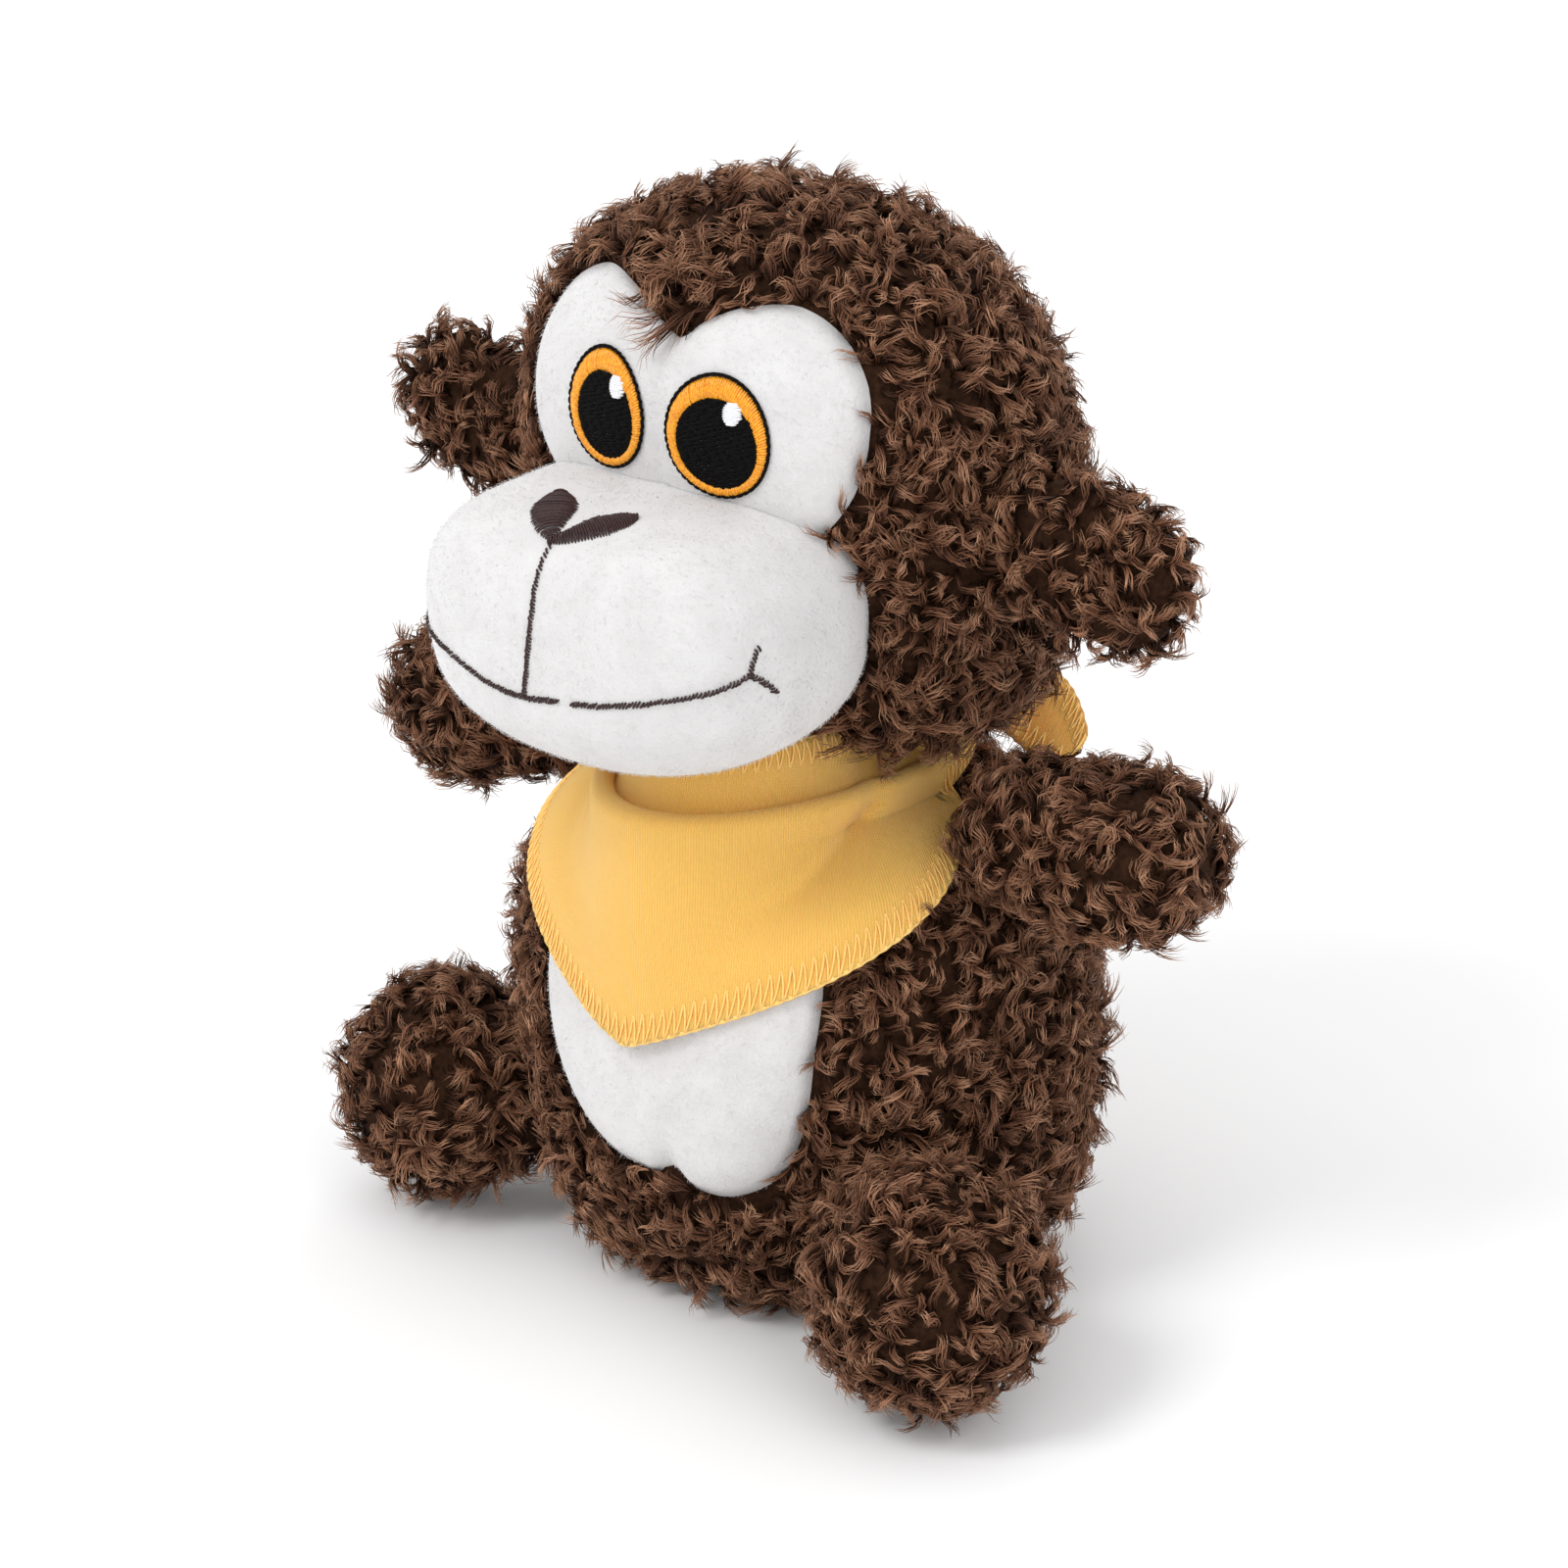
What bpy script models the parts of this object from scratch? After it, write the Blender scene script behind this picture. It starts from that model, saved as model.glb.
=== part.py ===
"""A small stuffed monkey that sits, with embroidered eyes and a bandana.

Metres, +Z up. The origin is the middle of the flat seat. The monkey faces -Y, so its own left is +X.
Every stuffed part is a skin of sewn panels around its filling. A part that moves hangs on an empty
at the middle of the round seam where it is sewn on, and the parts round it leave a ball socket there.
"""

import math

import bmesh
import bpy
from mathutils import Matrix, Vector

MM = 0.001

# Fabric
PILE_FABRIC = 3.0 * MM  # curly pile fabric, lightly pressed
GAP = 0.3 * MM  # between pieces that touch
SEAM = 0.4 * MM  # between two panels of one skin
SOCKET_CLEAR = 1.2 * MM  # round a ball that turns in its socket, both faceted
THREAD = 0.6 * MM  # height of the embroidery above the fabric
BANDANA_CLOTH = 2.2 * MM  # jersey with its serged hem and soft folds

# Torso: a barrel with a flat seat and a flat neck seam
TORSO_CENTRE_Y = -1.0 * MM
TORSO_HALF_WIDTH = 52.0 * MM
TORSO_HALF_DEPTH = 44.5 * MM
TORSO_WIDEST_Z = 38.0 * MM
TORSO_TOP_Z = 88.0 * MM
TORSO_BELOW = (48.0 * MM, 3.0)  # reach and roundness of the profile under its widest ring
TORSO_ABOVE = (54.0 * MM, 3.0)  # and over it
TORSO_RINGS = (0.0, 0.07, 0.18, 0.36, 0.55, 0.72, 0.85, 0.94, 1.0)
SEAT_PANEL_Z = 7.0 * MM
PELLETS_TOP_Z = 28.0 * MM

# Belly panel, seen from the front
BELLY_HALF_WIDTH = 27.5 * MM
BELLY_BOTTOM_Z = 26.5 * MM
BELLY_TOP_Z = 80.0 * MM
BELLY_TOP_ROUND = 22.0 * MM  # height of its rounded top
BELLY_CLEFT = 4.5 * MM

# Head
NECK_PIVOT = Vector((0.0, 0.0, 90.0)) * MM
NECK_RADIUS = 13.0 * MM
HEAD_CENTRE = Vector((0.0, -3.5, 137.5)) * MM
HEAD_RADII = Vector((46.8, 40.5, 46.5)) * MM
HEAD_FRONT_DEPTH = 34.5 * MM
HEAD_POWER = 2.35
HEAD_LEAN = 0.14  # how far the crown leans forward, per unit of height
MUZZLE_CENTRE = Vector((0.0, -40.5, 121.4)) * MM
MUZZLE_RADII = Vector((33.0, 28.8, 22.0)) * MM
MUZZLE_POWER = 2.8

# Face mask, seen from the front: two lobes over the eyes
MASK_LOBE = Vector((15.5, 154.5)) * MM
MASK_LOBE_RADIUS = 16.5 * MM
MASK_HALF_WIDTH = 32.5 * MM
MASK_BOTTOM_Z = 126.0 * MM
MASK_CORNER = 4.0 * MM  # how far the lower corners are cut off
MASK_SIDE_Z = (138.0 * MM, 150.0 * MM)  # the straight stretch of each side
MASK_NOTCH_Z = 165.0 * MM  # where the lobes meet over the nose

# Embroidery
EYE_CENTRE = Vector((11.6, 153.9)) * MM
EYE_HALF = Vector((8.8, 10.2)) * MM
EYE_OUTLINE = 0.8 * MM
IRIS_BAND = 2.2 * MM
PUPIL_DROP = 1.2 * MM
HIGHLIGHT_RADIUS = 1.7 * MM
HIGHLIGHT_OFFSET = Vector((2.4, 4.2)) * MM
NOSE_HALF_WIDTH = 11.0 * MM
NOSE_LEAF_WIDTH = 4.6 * MM
NOSE_TOP_Y = -54.5 * MM
NOSE_TIP_Y = -63.0 * MM
MOUTH_HALF_WIDTH = 28.0 * MM
MOUTH_Z = 117.5 * MM
MOUTH_LIFT = 8.0 * MM
STITCH_WIDTH = 1.4 * MM
LIP_LINE_TOP_Z = 137.9 * MM

# Ears: sewn on edge-on, at the sides of the head
EAR_CENTRE = Vector((64.5, -8.0, 134.8)) * MM
EAR_RADII = Vector((13.8, 4.8, 14.2)) * MM
EAR_POWER = 2.3
EAR_ROOT_X = 50.0 * MM

# Arms and legs: a round root, then a stub that ends in a ball
ARM_PIVOT = Vector((46.0, -3.0, 85.5)) * MM
ARM_ROOT_RADIUS = 13.5 * MM
ARM_TIP_RADIUS = 15.5 * MM
ARM_REACH = {"left": 21.0 * MM, "right": 23.0 * MM}
ARM_DIRECTIONS = {"left": Vector((1.0, 0.0, 0.05)), "right": Vector((-1.0, -0.12, -0.18))}
LEG_RADIUS = 21.0 * MM
LEG_ROOT_RADIUS = 16.5 * MM
LEG_PIVOT_DISTANCE = 53.0 * MM
LEG_ANGLES = {"left": math.radians(-34.5), "right": math.radians(180.0 + 27.5)}
LEG_REACH = {"left": 12.0 * MM, "right": 7.5 * MM}

# Bandana: a triangle tied round the neck, rolled over under the chin
BANDANA_FOLD_Z = 90.0 * MM
BANDANA_TOP_Z = 92.5 * MM
BANDANA_POINT_Z = 52.0 * MM
BANDANA_SIDE_Z = 89.0 * MM
BANDANA_BACK_Z = 85.0 * MM
BANDANA_SIDE_ANGLE = math.radians(85.0)
BANDANA_FOLD_FRONT = 44.5 * MM
BANDANA_FOLD_SIDE = 30.5 * MM
BANDANA_FOLD_BACK = 32.0 * MM
BANDANA_COLLAR = 5.0 * MM  # how far the roll runs in towards the neck
BANDANA_CLEAR = 1.2 * MM  # from the skin under it, whose facets it doesn't follow
KNOT_CENTRE = Vector((0.0, 38.0, 88.0)) * MM
KNOT_RADII = Vector((6.5, 4.8, 5.5)) * MM
KNOT_POWER = 2.4
TAIL_LENGTH = 24.0 * MM
TAIL_WIDTH = 13.0 * MM
TAIL_NARROW = 0.45  # its width at the knot, as a part of its greatest width
TAIL_BOW = Vector((1.5, 3.0)) * MM  # how far its middle stands back and up
TAIL_RISE = {"left": 1.5 * MM, "right": -3.0 * MM}  # from the knot to its end
BANDANA_SECTIONS = 26

ROUND_SEGMENTS = 22
ROUND_RINGS = 14
LIMB_SEGMENTS = 14
CUTTER_REACH = 120.0 * MM  # further than any sub-part
FRONT_CUT_Y = -8.0 * MM  # the belly panel stays in front of this plane


def clear_scene():
    for obj in list(bpy.data.objects):
        bpy.data.objects.remove(obj, do_unlink=True)


def material(name, colour, roughness):
    """A Principled material; colour is linear RGB."""
    made = bpy.data.materials.new(name)
    made.use_nodes = True
    shader = made.node_tree.nodes["Principled BSDF"]
    shader.inputs["Base Color"].default_value = (*colour, 1.0)
    shader.inputs["Roughness"].default_value = roughness
    shader.inputs["Metallic"].default_value = 0.0
    made.diffuse_color = (*colour, 1.0)
    return made


def make_materials():
    return {
        "fur": material("brown_curly_pile", (0.095, 0.048, 0.033), 0.9),
        "plush": material("white_short_pile", (0.78, 0.76, 0.76), 0.95),
        "jersey": material("yellow_jersey", (0.98, 0.56, 0.15), 0.85),
        "fibre": material("polyester_fibre", (0.85, 0.85, 0.83), 1.0),
        "bag": material("pellet_bag_cloth", (0.6, 0.6, 0.58), 0.9),
        "black": material("black_thread", (0.012, 0.012, 0.014), 0.45),
        "orange": material("orange_thread", (0.92, 0.38, 0.02), 0.4),
        "white": material("white_thread", (0.85, 0.85, 0.85), 0.4),
        "brown": material("dark_brown_thread", (0.045, 0.022, 0.02), 0.45),
    }


def add_object(name, form, parent=None):
    """An object from a bmesh whose points are in the parent's frame."""
    bmesh.ops.recalc_face_normals(form, faces=form.faces)
    mesh = bpy.data.meshes.new(name)
    form.to_mesh(mesh)
    form.free()
    mesh.shade_smooth()
    obj = bpy.data.objects.new(name, mesh)
    bpy.context.scene.collection.objects.link(obj)
    obj.parent = parent
    return obj


def add_pivot(name, location, rotation=None):
    """The empty on which a moving part hangs, on the axis of its joint."""
    pivot = bpy.data.objects.new(name, None)
    pivot.empty_display_size = 10 * MM
    pivot.matrix_world = Matrix.Translation(location) @ (rotation or Matrix())
    bpy.context.scene.collection.objects.link(pivot)
    return pivot


def helper(obj):
    """Keeps a cutter out of the finished model."""
    obj.hide_render = True
    obj.display_type = "WIRE"
    return obj


def piece(name, form, finish, steps, parent=None):
    """A sub-part: a closed form, then its Boolean steps as (operation, cutter) pairs."""
    obj = add_object(name, form, parent)
    obj.data.materials.append(finish)
    for operation, cutter in steps:
        cut = obj.modifiers.new(f"{operation.lower()}_{cutter.name}", "BOOLEAN")
        cut.operation = operation
        cut.object = cutter
        cut.solver = "EXACT"
    return obj


def rounded(centre, radii, power, segments=ROUND_SEGMENTS, rings=ROUND_RINGS, front_depth=None):
    """A closed superellipsoid; front_depth replaces the depth of its -Y half."""
    form = bmesh.new()
    bmesh.ops.create_uvsphere(form, u_segments=segments, v_segments=rings, radius=1.0)
    for vert in form.verts:
        length = sum(abs(value) ** power for value in vert.co) ** (1.0 / power)
        depth = front_depth if front_depth and vert.co.y < 0.0 else radii.y
        size = Vector((radii.x, depth, radii.z))
        vert.co = centre + vert.co / length * size
    return form


def stacked(rings, caps=True):
    """A closed form from rings of points, each ring with the same count."""
    form = bmesh.new()
    loops = [[form.verts.new(point) for point in ring] for ring in rings]
    count = len(loops[0])
    for lower, upper in zip(loops, loops[1:] if caps else loops[1:] + loops[:1]):
        for i in range(count):
            j = (i + 1) % count
            form.faces.new((lower[i], lower[j], upper[j], upper[i]))
    if caps:
        form.faces.new(loops[0])
        form.faces.new(loops[-1])
    return form


def box(name, low, high, parent=None):
    """A box cutter between two corners."""
    form = bmesh.new()
    bmesh.ops.create_cube(form, size=1.0)
    low, high = Vector(low), Vector(high)
    for vert in form.verts:
        vert.co = (low + high) / 2 + vert.co * (high - low)
    return helper(add_object(name, form, parent))


def ball(name, centre, radius, parent=None):
    """A round cutter for the socket in which a part turns."""
    form = rounded(centre, Vector((radius,) * 3), 2.0, segments=16, rings=10)
    return helper(add_object(name, form, parent))


def prism(name, outline, y_front, y_back, parent=None):
    """A cutter with an (x, z) outline, drawn along Y."""
    rings = [[Vector((x, y, z)) for x, z in outline] for y in (y_front, y_back)]
    return helper(add_object(name, stacked(rings), parent))


def half_boxes(prefix, axis, reach, parent=None):
    """Two cutters that keep one half each, a seam apart."""
    halves = []
    for side, sign in (("far", 1.0), ("near", -1.0)):
        corners = [[-reach] * 3, [reach] * 3]
        corners[0 if sign > 0 else 1][axis] = sign * SEAM / 2
        halves.append(box(f"{prefix}_{side}_half", *corners, parent))
    return halves


def torso_factor(z):
    """How wide the torso is at a height, as a part of its greatest width."""
    reach, power = TORSO_BELOW if z < TORSO_WIDEST_Z else TORSO_ABOVE
    return (1.0 - (abs(z - TORSO_WIDEST_Z) / reach) ** power) ** (1.0 / power)


def torso_radius(angle, z):
    """Distance from the torso's axis to its skin; angle 0 is the front."""
    across = math.sin(angle) / TORSO_HALF_WIDTH
    along = math.cos(angle) / TORSO_HALF_DEPTH
    return torso_factor(z) / math.hypot(across, along)


def around(angle, radius, z):
    """A point round the torso's axis; angle 0 is the front, and it grows towards +X."""
    return Vector((radius * math.sin(angle), TORSO_CENTRE_Y - radius * math.cos(angle), z))


def torso_form(inset=0.0):
    """The closed barrel of the torso, drawn in by an inset."""
    rings = []
    for share in TORSO_RINGS:
        z = share * TORSO_TOP_Z
        height = inset + share * (TORSO_TOP_Z - 2 * inset)
        angles = [2 * math.pi * i / ROUND_SEGMENTS for i in range(ROUND_SEGMENTS)]
        rings.append([around(a, torso_radius(a, z) - inset, height) for a in angles])
    return stacked(rings)


def arc(centre, radii, start, stop, count):
    """Points on an elliptic arc, angles in degrees from +X towards +Z."""
    points = []
    for i in range(count):
        angle = math.radians(start + (stop - start) * i / (count - 1))
        points.append((centre[0] + radii[0] * math.cos(angle), centre[1] + radii[1] * math.sin(angle)))
    return points


def mirrored(half):
    """A closed outline from its +X half, which runs from the bottom to the top."""
    return half + [(-x, z) for x, z in reversed(half) if x > 1e-6]


def belly_outline(margin=0.0):
    """Two round lobes below with a cleft between them, and a rounded top."""
    lobe = BELLY_HALF_WIDTH / 2
    width = lobe + margin
    half = [(0.0, BELLY_BOTTOM_Z + BELLY_CLEFT - margin)]
    half += arc((lobe, BELLY_BOTTOM_Z + lobe), (width, width), -130.0, 0.0, 7)
    top_radii = (BELLY_HALF_WIDTH + margin, BELLY_TOP_ROUND + margin)
    half += arc((0.0, BELLY_TOP_Z - BELLY_TOP_ROUND), top_radii, 20.0, 90.0, 6)
    return mirrored(half)


def mask_outline(margin=0.0):
    """Two lobes over the eyes with a notch between them, and straight sides."""
    radius = MASK_LOBE_RADIUS + margin
    width = MASK_HALF_WIDTH + margin
    bottom = MASK_BOTTOM_Z - margin
    half = [(0.0, bottom), (width - MASK_CORNER, bottom)]
    half += [(width, z) for z in MASK_SIDE_Z]
    half += arc(MASK_LOBE, (radius, radius), 15.0, 138.0, 8)
    half += [(0.0, MASK_NOTCH_Z + margin)]
    return mirrored(half)


def make_torso(finishes, sockets):
    """Skin panels, belly panel, seat panel, filling and the bag of pellets."""
    hollow = helper(add_object("torso_hollow", torso_form(PILE_FABRIC)))
    left_half, right_half = half_boxes("torso", 0, CUTTER_REACH)
    low = Vector((-CUTTER_REACH,) * 3)
    seat_zone = box("seat_zone", low, (CUTTER_REACH, CUTTER_REACH, SEAT_PANEL_Z))
    seat_cut = box("seat_cut", low, (CUTTER_REACH, CUTTER_REACH, SEAT_PANEL_Z + SEAM))
    front = (-CUTTER_REACH, FRONT_CUT_Y)
    belly_zone = prism("belly_zone", belly_outline(), *front)
    belly_cut = prism("belly_cut", belly_outline(SEAM), *front)
    pellets_zone = box("pellets_zone", low, (CUTTER_REACH, CUTTER_REACH, PELLETS_TOP_Z))
    pellets_cut = box("pellets_cut", low, (CUTTER_REACH, CUTTER_REACH, PELLETS_TOP_Z + GAP))
    socket_cuts = [("DIFFERENCE", socket) for socket in sockets]

    hollowed = [("DIFFERENCE", hollow)]
    sides = [("DIFFERENCE", seat_cut), ("DIFFERENCE", belly_cut), *socket_cuts]
    fur = finishes["fur"]
    piece("torso_left_panel", torso_form(), fur, [*hollowed, ("INTERSECT", left_half), *sides])
    piece("torso_right_panel", torso_form(), fur, [*hollowed, ("INTERSECT", right_half), *sides])
    piece("seat_panel", torso_form(), fur, [*hollowed, ("INTERSECT", seat_zone), *socket_cuts])
    belly_steps = [*hollowed, ("INTERSECT", belly_zone), *socket_cuts]
    piece("belly_panel", torso_form(), finishes["plush"], belly_steps)

    filling = PILE_FABRIC + GAP
    stuffing_steps = [("DIFFERENCE", pellets_cut), *socket_cuts]
    piece("torso_stuffing", torso_form(filling), finishes["fibre"], stuffing_steps)
    bag_steps = [("INTERSECT", pellets_zone), *socket_cuts]
    piece("pellet_bag", torso_form(filling), finishes["bag"], bag_steps)


def head_form(margin=0.0):
    """The head without its muzzle, its crown leaning forward."""
    centre = HEAD_CENTRE - NECK_PIVOT
    radii = HEAD_RADII + Vector((margin,) * 3)
    form = rounded(centre, radii, HEAD_POWER, front_depth=HEAD_FRONT_DEPTH + margin)
    for vert in form.verts:
        vert.co.y -= HEAD_LEAN * (vert.co.z - centre.z)
    return form


def muzzle_form(margin=0.0):
    radii = MUZZLE_RADII + Vector((margin,) * 3)
    return rounded(MUZZLE_CENTRE - NECK_PIVOT, radii, MUZZLE_POWER, segments=24, rings=12)


def face_depth(x, z):
    """World Y of the head's front at a place seen from the front."""
    across = abs(x - HEAD_CENTRE.x) / HEAD_RADII.x
    up = abs(z - HEAD_CENTRE.z) / HEAD_RADII.z
    rest = 1.0 - across**HEAD_POWER - up**HEAD_POWER
    middle = HEAD_CENTRE.y - HEAD_LEAN * (z - HEAD_CENTRE.z)
    return middle - HEAD_FRONT_DEPTH * rest ** (1.0 / HEAD_POWER)


def muzzle_depth(x, z):
    """World Y of the muzzle's front at a place seen from the front."""
    across = abs(x - MUZZLE_CENTRE.x) / MUZZLE_RADII.x
    up = abs(z - MUZZLE_CENTRE.z) / MUZZLE_RADII.z
    rest = 1.0 - across**MUZZLE_POWER - up**MUZZLE_POWER
    return MUZZLE_CENTRE.y - MUZZLE_RADII.y * rest ** (1.0 / MUZZLE_POWER)


def muzzle_top(x, y):
    """World Z of the muzzle's upper side at a place seen from above."""
    across = abs(x - MUZZLE_CENTRE.x) / MUZZLE_RADII.x
    along = abs(y - MUZZLE_CENTRE.y) / MUZZLE_RADII.y
    rest = 1.0 - across**MUZZLE_POWER - along**MUZZLE_POWER
    return MUZZLE_CENTRE.z + MUZZLE_RADII.z * rest ** (1.0 / MUZZLE_POWER)


def head_shape_cutters(head):
    """The cutters that share out the head's skin."""
    front = (-CUTTER_REACH, HEAD_CENTRE.y - NECK_PIVOT.y)
    shift = -NECK_PIVOT.z
    zone = [(x, z + shift) for x, z in mask_outline()]
    cut = [(x, z + shift) for x, z in mask_outline(SEAM)]
    return {
        "hollow": helper(add_object("head_hollow", head_form(-PILE_FABRIC), head)),
        "outside": helper(add_object("head_outside", head_form(GAP), head)),
        "muzzle_outside": helper(add_object("muzzle_outside", muzzle_form(GAP), head)),
        "muzzle_hollow": helper(add_object("muzzle_hollow", muzzle_form(-PILE_FABRIC), head)),
        "mask_zone": prism("mask_zone", zone, *front, head),
        "mask_cut": prism("mask_cut", cut, *front, head),
        "neck": ball("neck_in_head", Vector(), NECK_RADIUS + SOCKET_CLEAR, head),
    }


def make_head(finishes, head):
    """Skin panels, face mask, muzzle and the filling of both."""
    cutters = head_shape_cutters(head)
    hollowed = ("DIFFERENCE", cutters["hollow"])
    no_muzzle = ("DIFFERENCE", cutters["muzzle_outside"])
    neck = ("DIFFERENCE", cutters["neck"])
    whole = [hollowed, neck, ("DIFFERENCE", cutters["mask_cut"]), no_muzzle]
    for side, half in zip(("left", "right"), half_boxes("head", 0, CUTTER_REACH, head)):
        steps = [*whole, ("INTERSECT", half)]
        piece(f"head_{side}_panel", head_form(), finishes["fur"], steps, head)
    mask_steps = [hollowed, ("INTERSECT", cutters["mask_zone"]), no_muzzle]
    piece("face_mask", head_form(), finishes["plush"], mask_steps, head)
    muzzle_steps = [("DIFFERENCE", cutters["muzzle_hollow"]), ("DIFFERENCE", cutters["outside"])]
    piece("muzzle_panel", muzzle_form(), finishes["plush"], muzzle_steps, head)

    filling = -PILE_FABRIC - GAP
    piece("head_stuffing", head_form(filling), finishes["fibre"], [neck], head)
    muzzle_filling = [("DIFFERENCE", cutters["hollow"])]
    piece("muzzle_stuffing", muzzle_form(filling), finishes["fibre"], muzzle_filling, head)


def egg(centre, half, count=18):
    """The outline of an eye, slightly fuller below."""
    points = []
    for i in range(count):
        angle = 2 * math.pi * i / count
        x = half[0] * math.cos(angle) * (1.0 - 0.06 * math.sin(angle))
        points.append((centre[0] + x, centre[1] + half[1] * math.sin(angle)))
    return points


def on_surface(points, depth, lift):
    """Points seen from the front, laid on a surface and raised off it, in the head's frame."""
    return [Vector((x, depth(x, z) - lift, z)) - NECK_PIVOT for x, z in points]


def ring_of_thread(outer, inner, depth, lift=GAP):
    """A flat band of stitches between two outlines."""
    top = lift + THREAD
    loops = [
        on_surface(outer, depth, lift),
        on_surface(outer, depth, top),
        on_surface(inner, depth, top),
        on_surface(inner, depth, lift),
    ]
    return stacked(loops, caps=False)


def shrunk_to(outline, share):
    """An outline drawn in towards its middle."""
    middle = [sum(values) / len(outline) for values in zip(*outline)]
    return [tuple(m + (value - m) * share for m, value in zip(middle, point)) for point in outline]


def patch_of_thread(outline, depth, lift=GAP):
    """A filled area of stitches, from an outline towards its middle."""
    shrunk = [shrunk_to(outline, share) for share in (1.0, 0.55, 0.15)]
    below = [on_surface(points, depth, lift) for points in reversed(shrunk)]
    above = [on_surface(points, depth, lift + THREAD) for points in shrunk]
    return stacked(below + above)


def make_eye(side, finishes, head):
    """One eye: a thin outline, the iris, the pupil and a highlight on it."""
    sign = 1.0 if side == "left" else -1.0
    centre = Vector((sign * EYE_CENTRE.x, EYE_CENTRE.y))
    iris_half = EYE_HALF - Vector((EYE_OUTLINE, EYE_OUTLINE))
    pupil_half = iris_half - Vector((IRIS_BAND, IRIS_BAND)) - Vector((0.0, PUPIL_DROP / 2))
    pupil_centre = centre - Vector((0.0, PUPIL_DROP))
    gap = Vector((GAP, GAP))
    outline = ring_of_thread(egg(centre, EYE_HALF), egg(centre, iris_half + gap / 2), face_depth)
    piece(f"{side}_eye_outline", outline, finishes["black"], [], head)
    iris_edge = egg(centre, iris_half - gap / 2)
    iris = ring_of_thread(iris_edge, egg(pupil_centre, pupil_half + gap / 2), face_depth)
    piece(f"{side}_eye_iris", iris, finishes["orange"], [], head)
    pupil = patch_of_thread(egg(pupil_centre, pupil_half - gap / 2), face_depth)
    piece(f"{side}_eye_pupil", pupil, finishes["black"], [], head)
    spot = centre + Vector((HIGHLIGHT_OFFSET.x, HIGHLIGHT_OFFSET.y))
    round_spot = egg(spot, (HIGHLIGHT_RADIUS, HIGHLIGHT_RADIUS * 1.2), 12)
    highlight = patch_of_thread(round_spot, face_depth, 2 * GAP + THREAD)
    piece(f"{side}_eye_highlight", highlight, finishes["white"], [], head)


def nose_edges(x):
    """World Y of the nose's front and back edges: two leaves that meet in a V."""
    share = abs(x) / NOSE_HALF_WIDTH
    middle = NOSE_TIP_Y + NOSE_LEAF_WIDTH / 2 + (NOSE_TOP_Y - NOSE_TIP_Y) * share
    half = NOSE_LEAF_WIDTH / 2 * math.sqrt(max(1.0 - share**2.5, 0.02))
    return middle - half, middle + half


def make_nose(finishes, head):
    """Two leaves of satin stitch on the muzzle's upper edge, joined in the middle."""
    count = 14
    sections = []
    for i in range(count + 1):
        x = NOSE_HALF_WIDTH * (2.0 * i / count - 1.0)
        front, back = nose_edges(x)
        edge = [(front + (back - front) * j / 3, 2 * GAP) for j in range(4)]
        edge += [(y, lift + THREAD) for y, lift in reversed(edge)]
        sections.append([Vector((x, y, muzzle_top(x, y) + lift)) - NECK_PIVOT for y, lift in edge])
    piece("nose_stitching", stacked(sections), finishes["brown"], [], head)


def mouth_curve(x):
    """Height of the mouth line: a shallow smile."""
    return MOUTH_Z + MOUTH_LIFT * (abs(x) / MOUTH_HALF_WIDTH) ** 2.5


def line_section(x, z, across):
    """A stitched line's cross-section on the muzzle; across is (x, z) over its half-width."""
    section = []
    for share, lift in ((-1, GAP), (1, GAP), (1, GAP + THREAD), (-1, GAP + THREAD)):
        place = [(x + share * across[0], z + share * across[1])]
        section += on_surface(place, muzzle_depth, lift)
    return section


def make_mouth(finishes, head):
    """The line from the nose down, and the smile under it."""
    count = 16
    sections = []
    for i in range(count + 1):
        x = MOUTH_HALF_WIDTH * (2.0 * i / count - 1.0)
        z = mouth_curve(x)
        sections.append(line_section(x, z, (0.0, STITCH_WIDTH / 2)))
    piece("mouth_stitching", stacked(sections), finishes["brown"], [], head)
    sections = []
    bottom = mouth_curve(0.0) + STITCH_WIDTH / 2 + SEAM
    for i in range(6):
        z = bottom + (LIP_LINE_TOP_Z - bottom) * i / 5
        sections.append(line_section(0.0, z, (STITCH_WIDTH / 2, 0.0)))
    piece("lip_line_stitching", stacked(sections), finishes["brown"], [], head)


def make_ear(side, finishes):
    """A front and a back panel, sewn edge to edge."""
    sign = 1.0 if side == "left" else -1.0
    root = Vector((sign * EAR_ROOT_X, EAR_CENTRE.y, EAR_CENTRE.z))
    pivot = add_pivot(f"{side}_ear_pivot", root)
    halves = half_boxes(f"{side}_ear", 1, CUTTER_REACH, pivot)
    middle = Vector((sign * (EAR_CENTRE.x - EAR_ROOT_X), 0.0, 0.0))
    for name, half in zip(("back", "front"), halves):
        form = rounded(middle, EAR_RADII, EAR_POWER, segments=16, rings=8)
        piece(f"{side}_ear_{name}_panel", form, finishes["fur"], [("INTERSECT", half)], pivot)


def limb_form(root_radius, tip_radius, reach, inset=0.0):
    """A stub along +Z: a ball root round the origin and a ball end, with a smooth run between."""
    root, tip = root_radius - inset, tip_radius - inset
    profile = arc((0.0, 0.0), (root, root), 165.0, 90.0, 3)
    profile.append((reach / 2, (root + tip) / 2))
    profile += arc((reach, 0.0), (tip, tip), 90.0, 20.0, 3)
    rings = []
    for along, radius in profile:
        angles = [2 * math.pi * i / LIMB_SEGMENTS for i in range(LIMB_SEGMENTS)]
        rings.append([Vector((radius * math.cos(a), radius * math.sin(a), along)) for a in angles])
    return stacked(rings)


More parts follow.
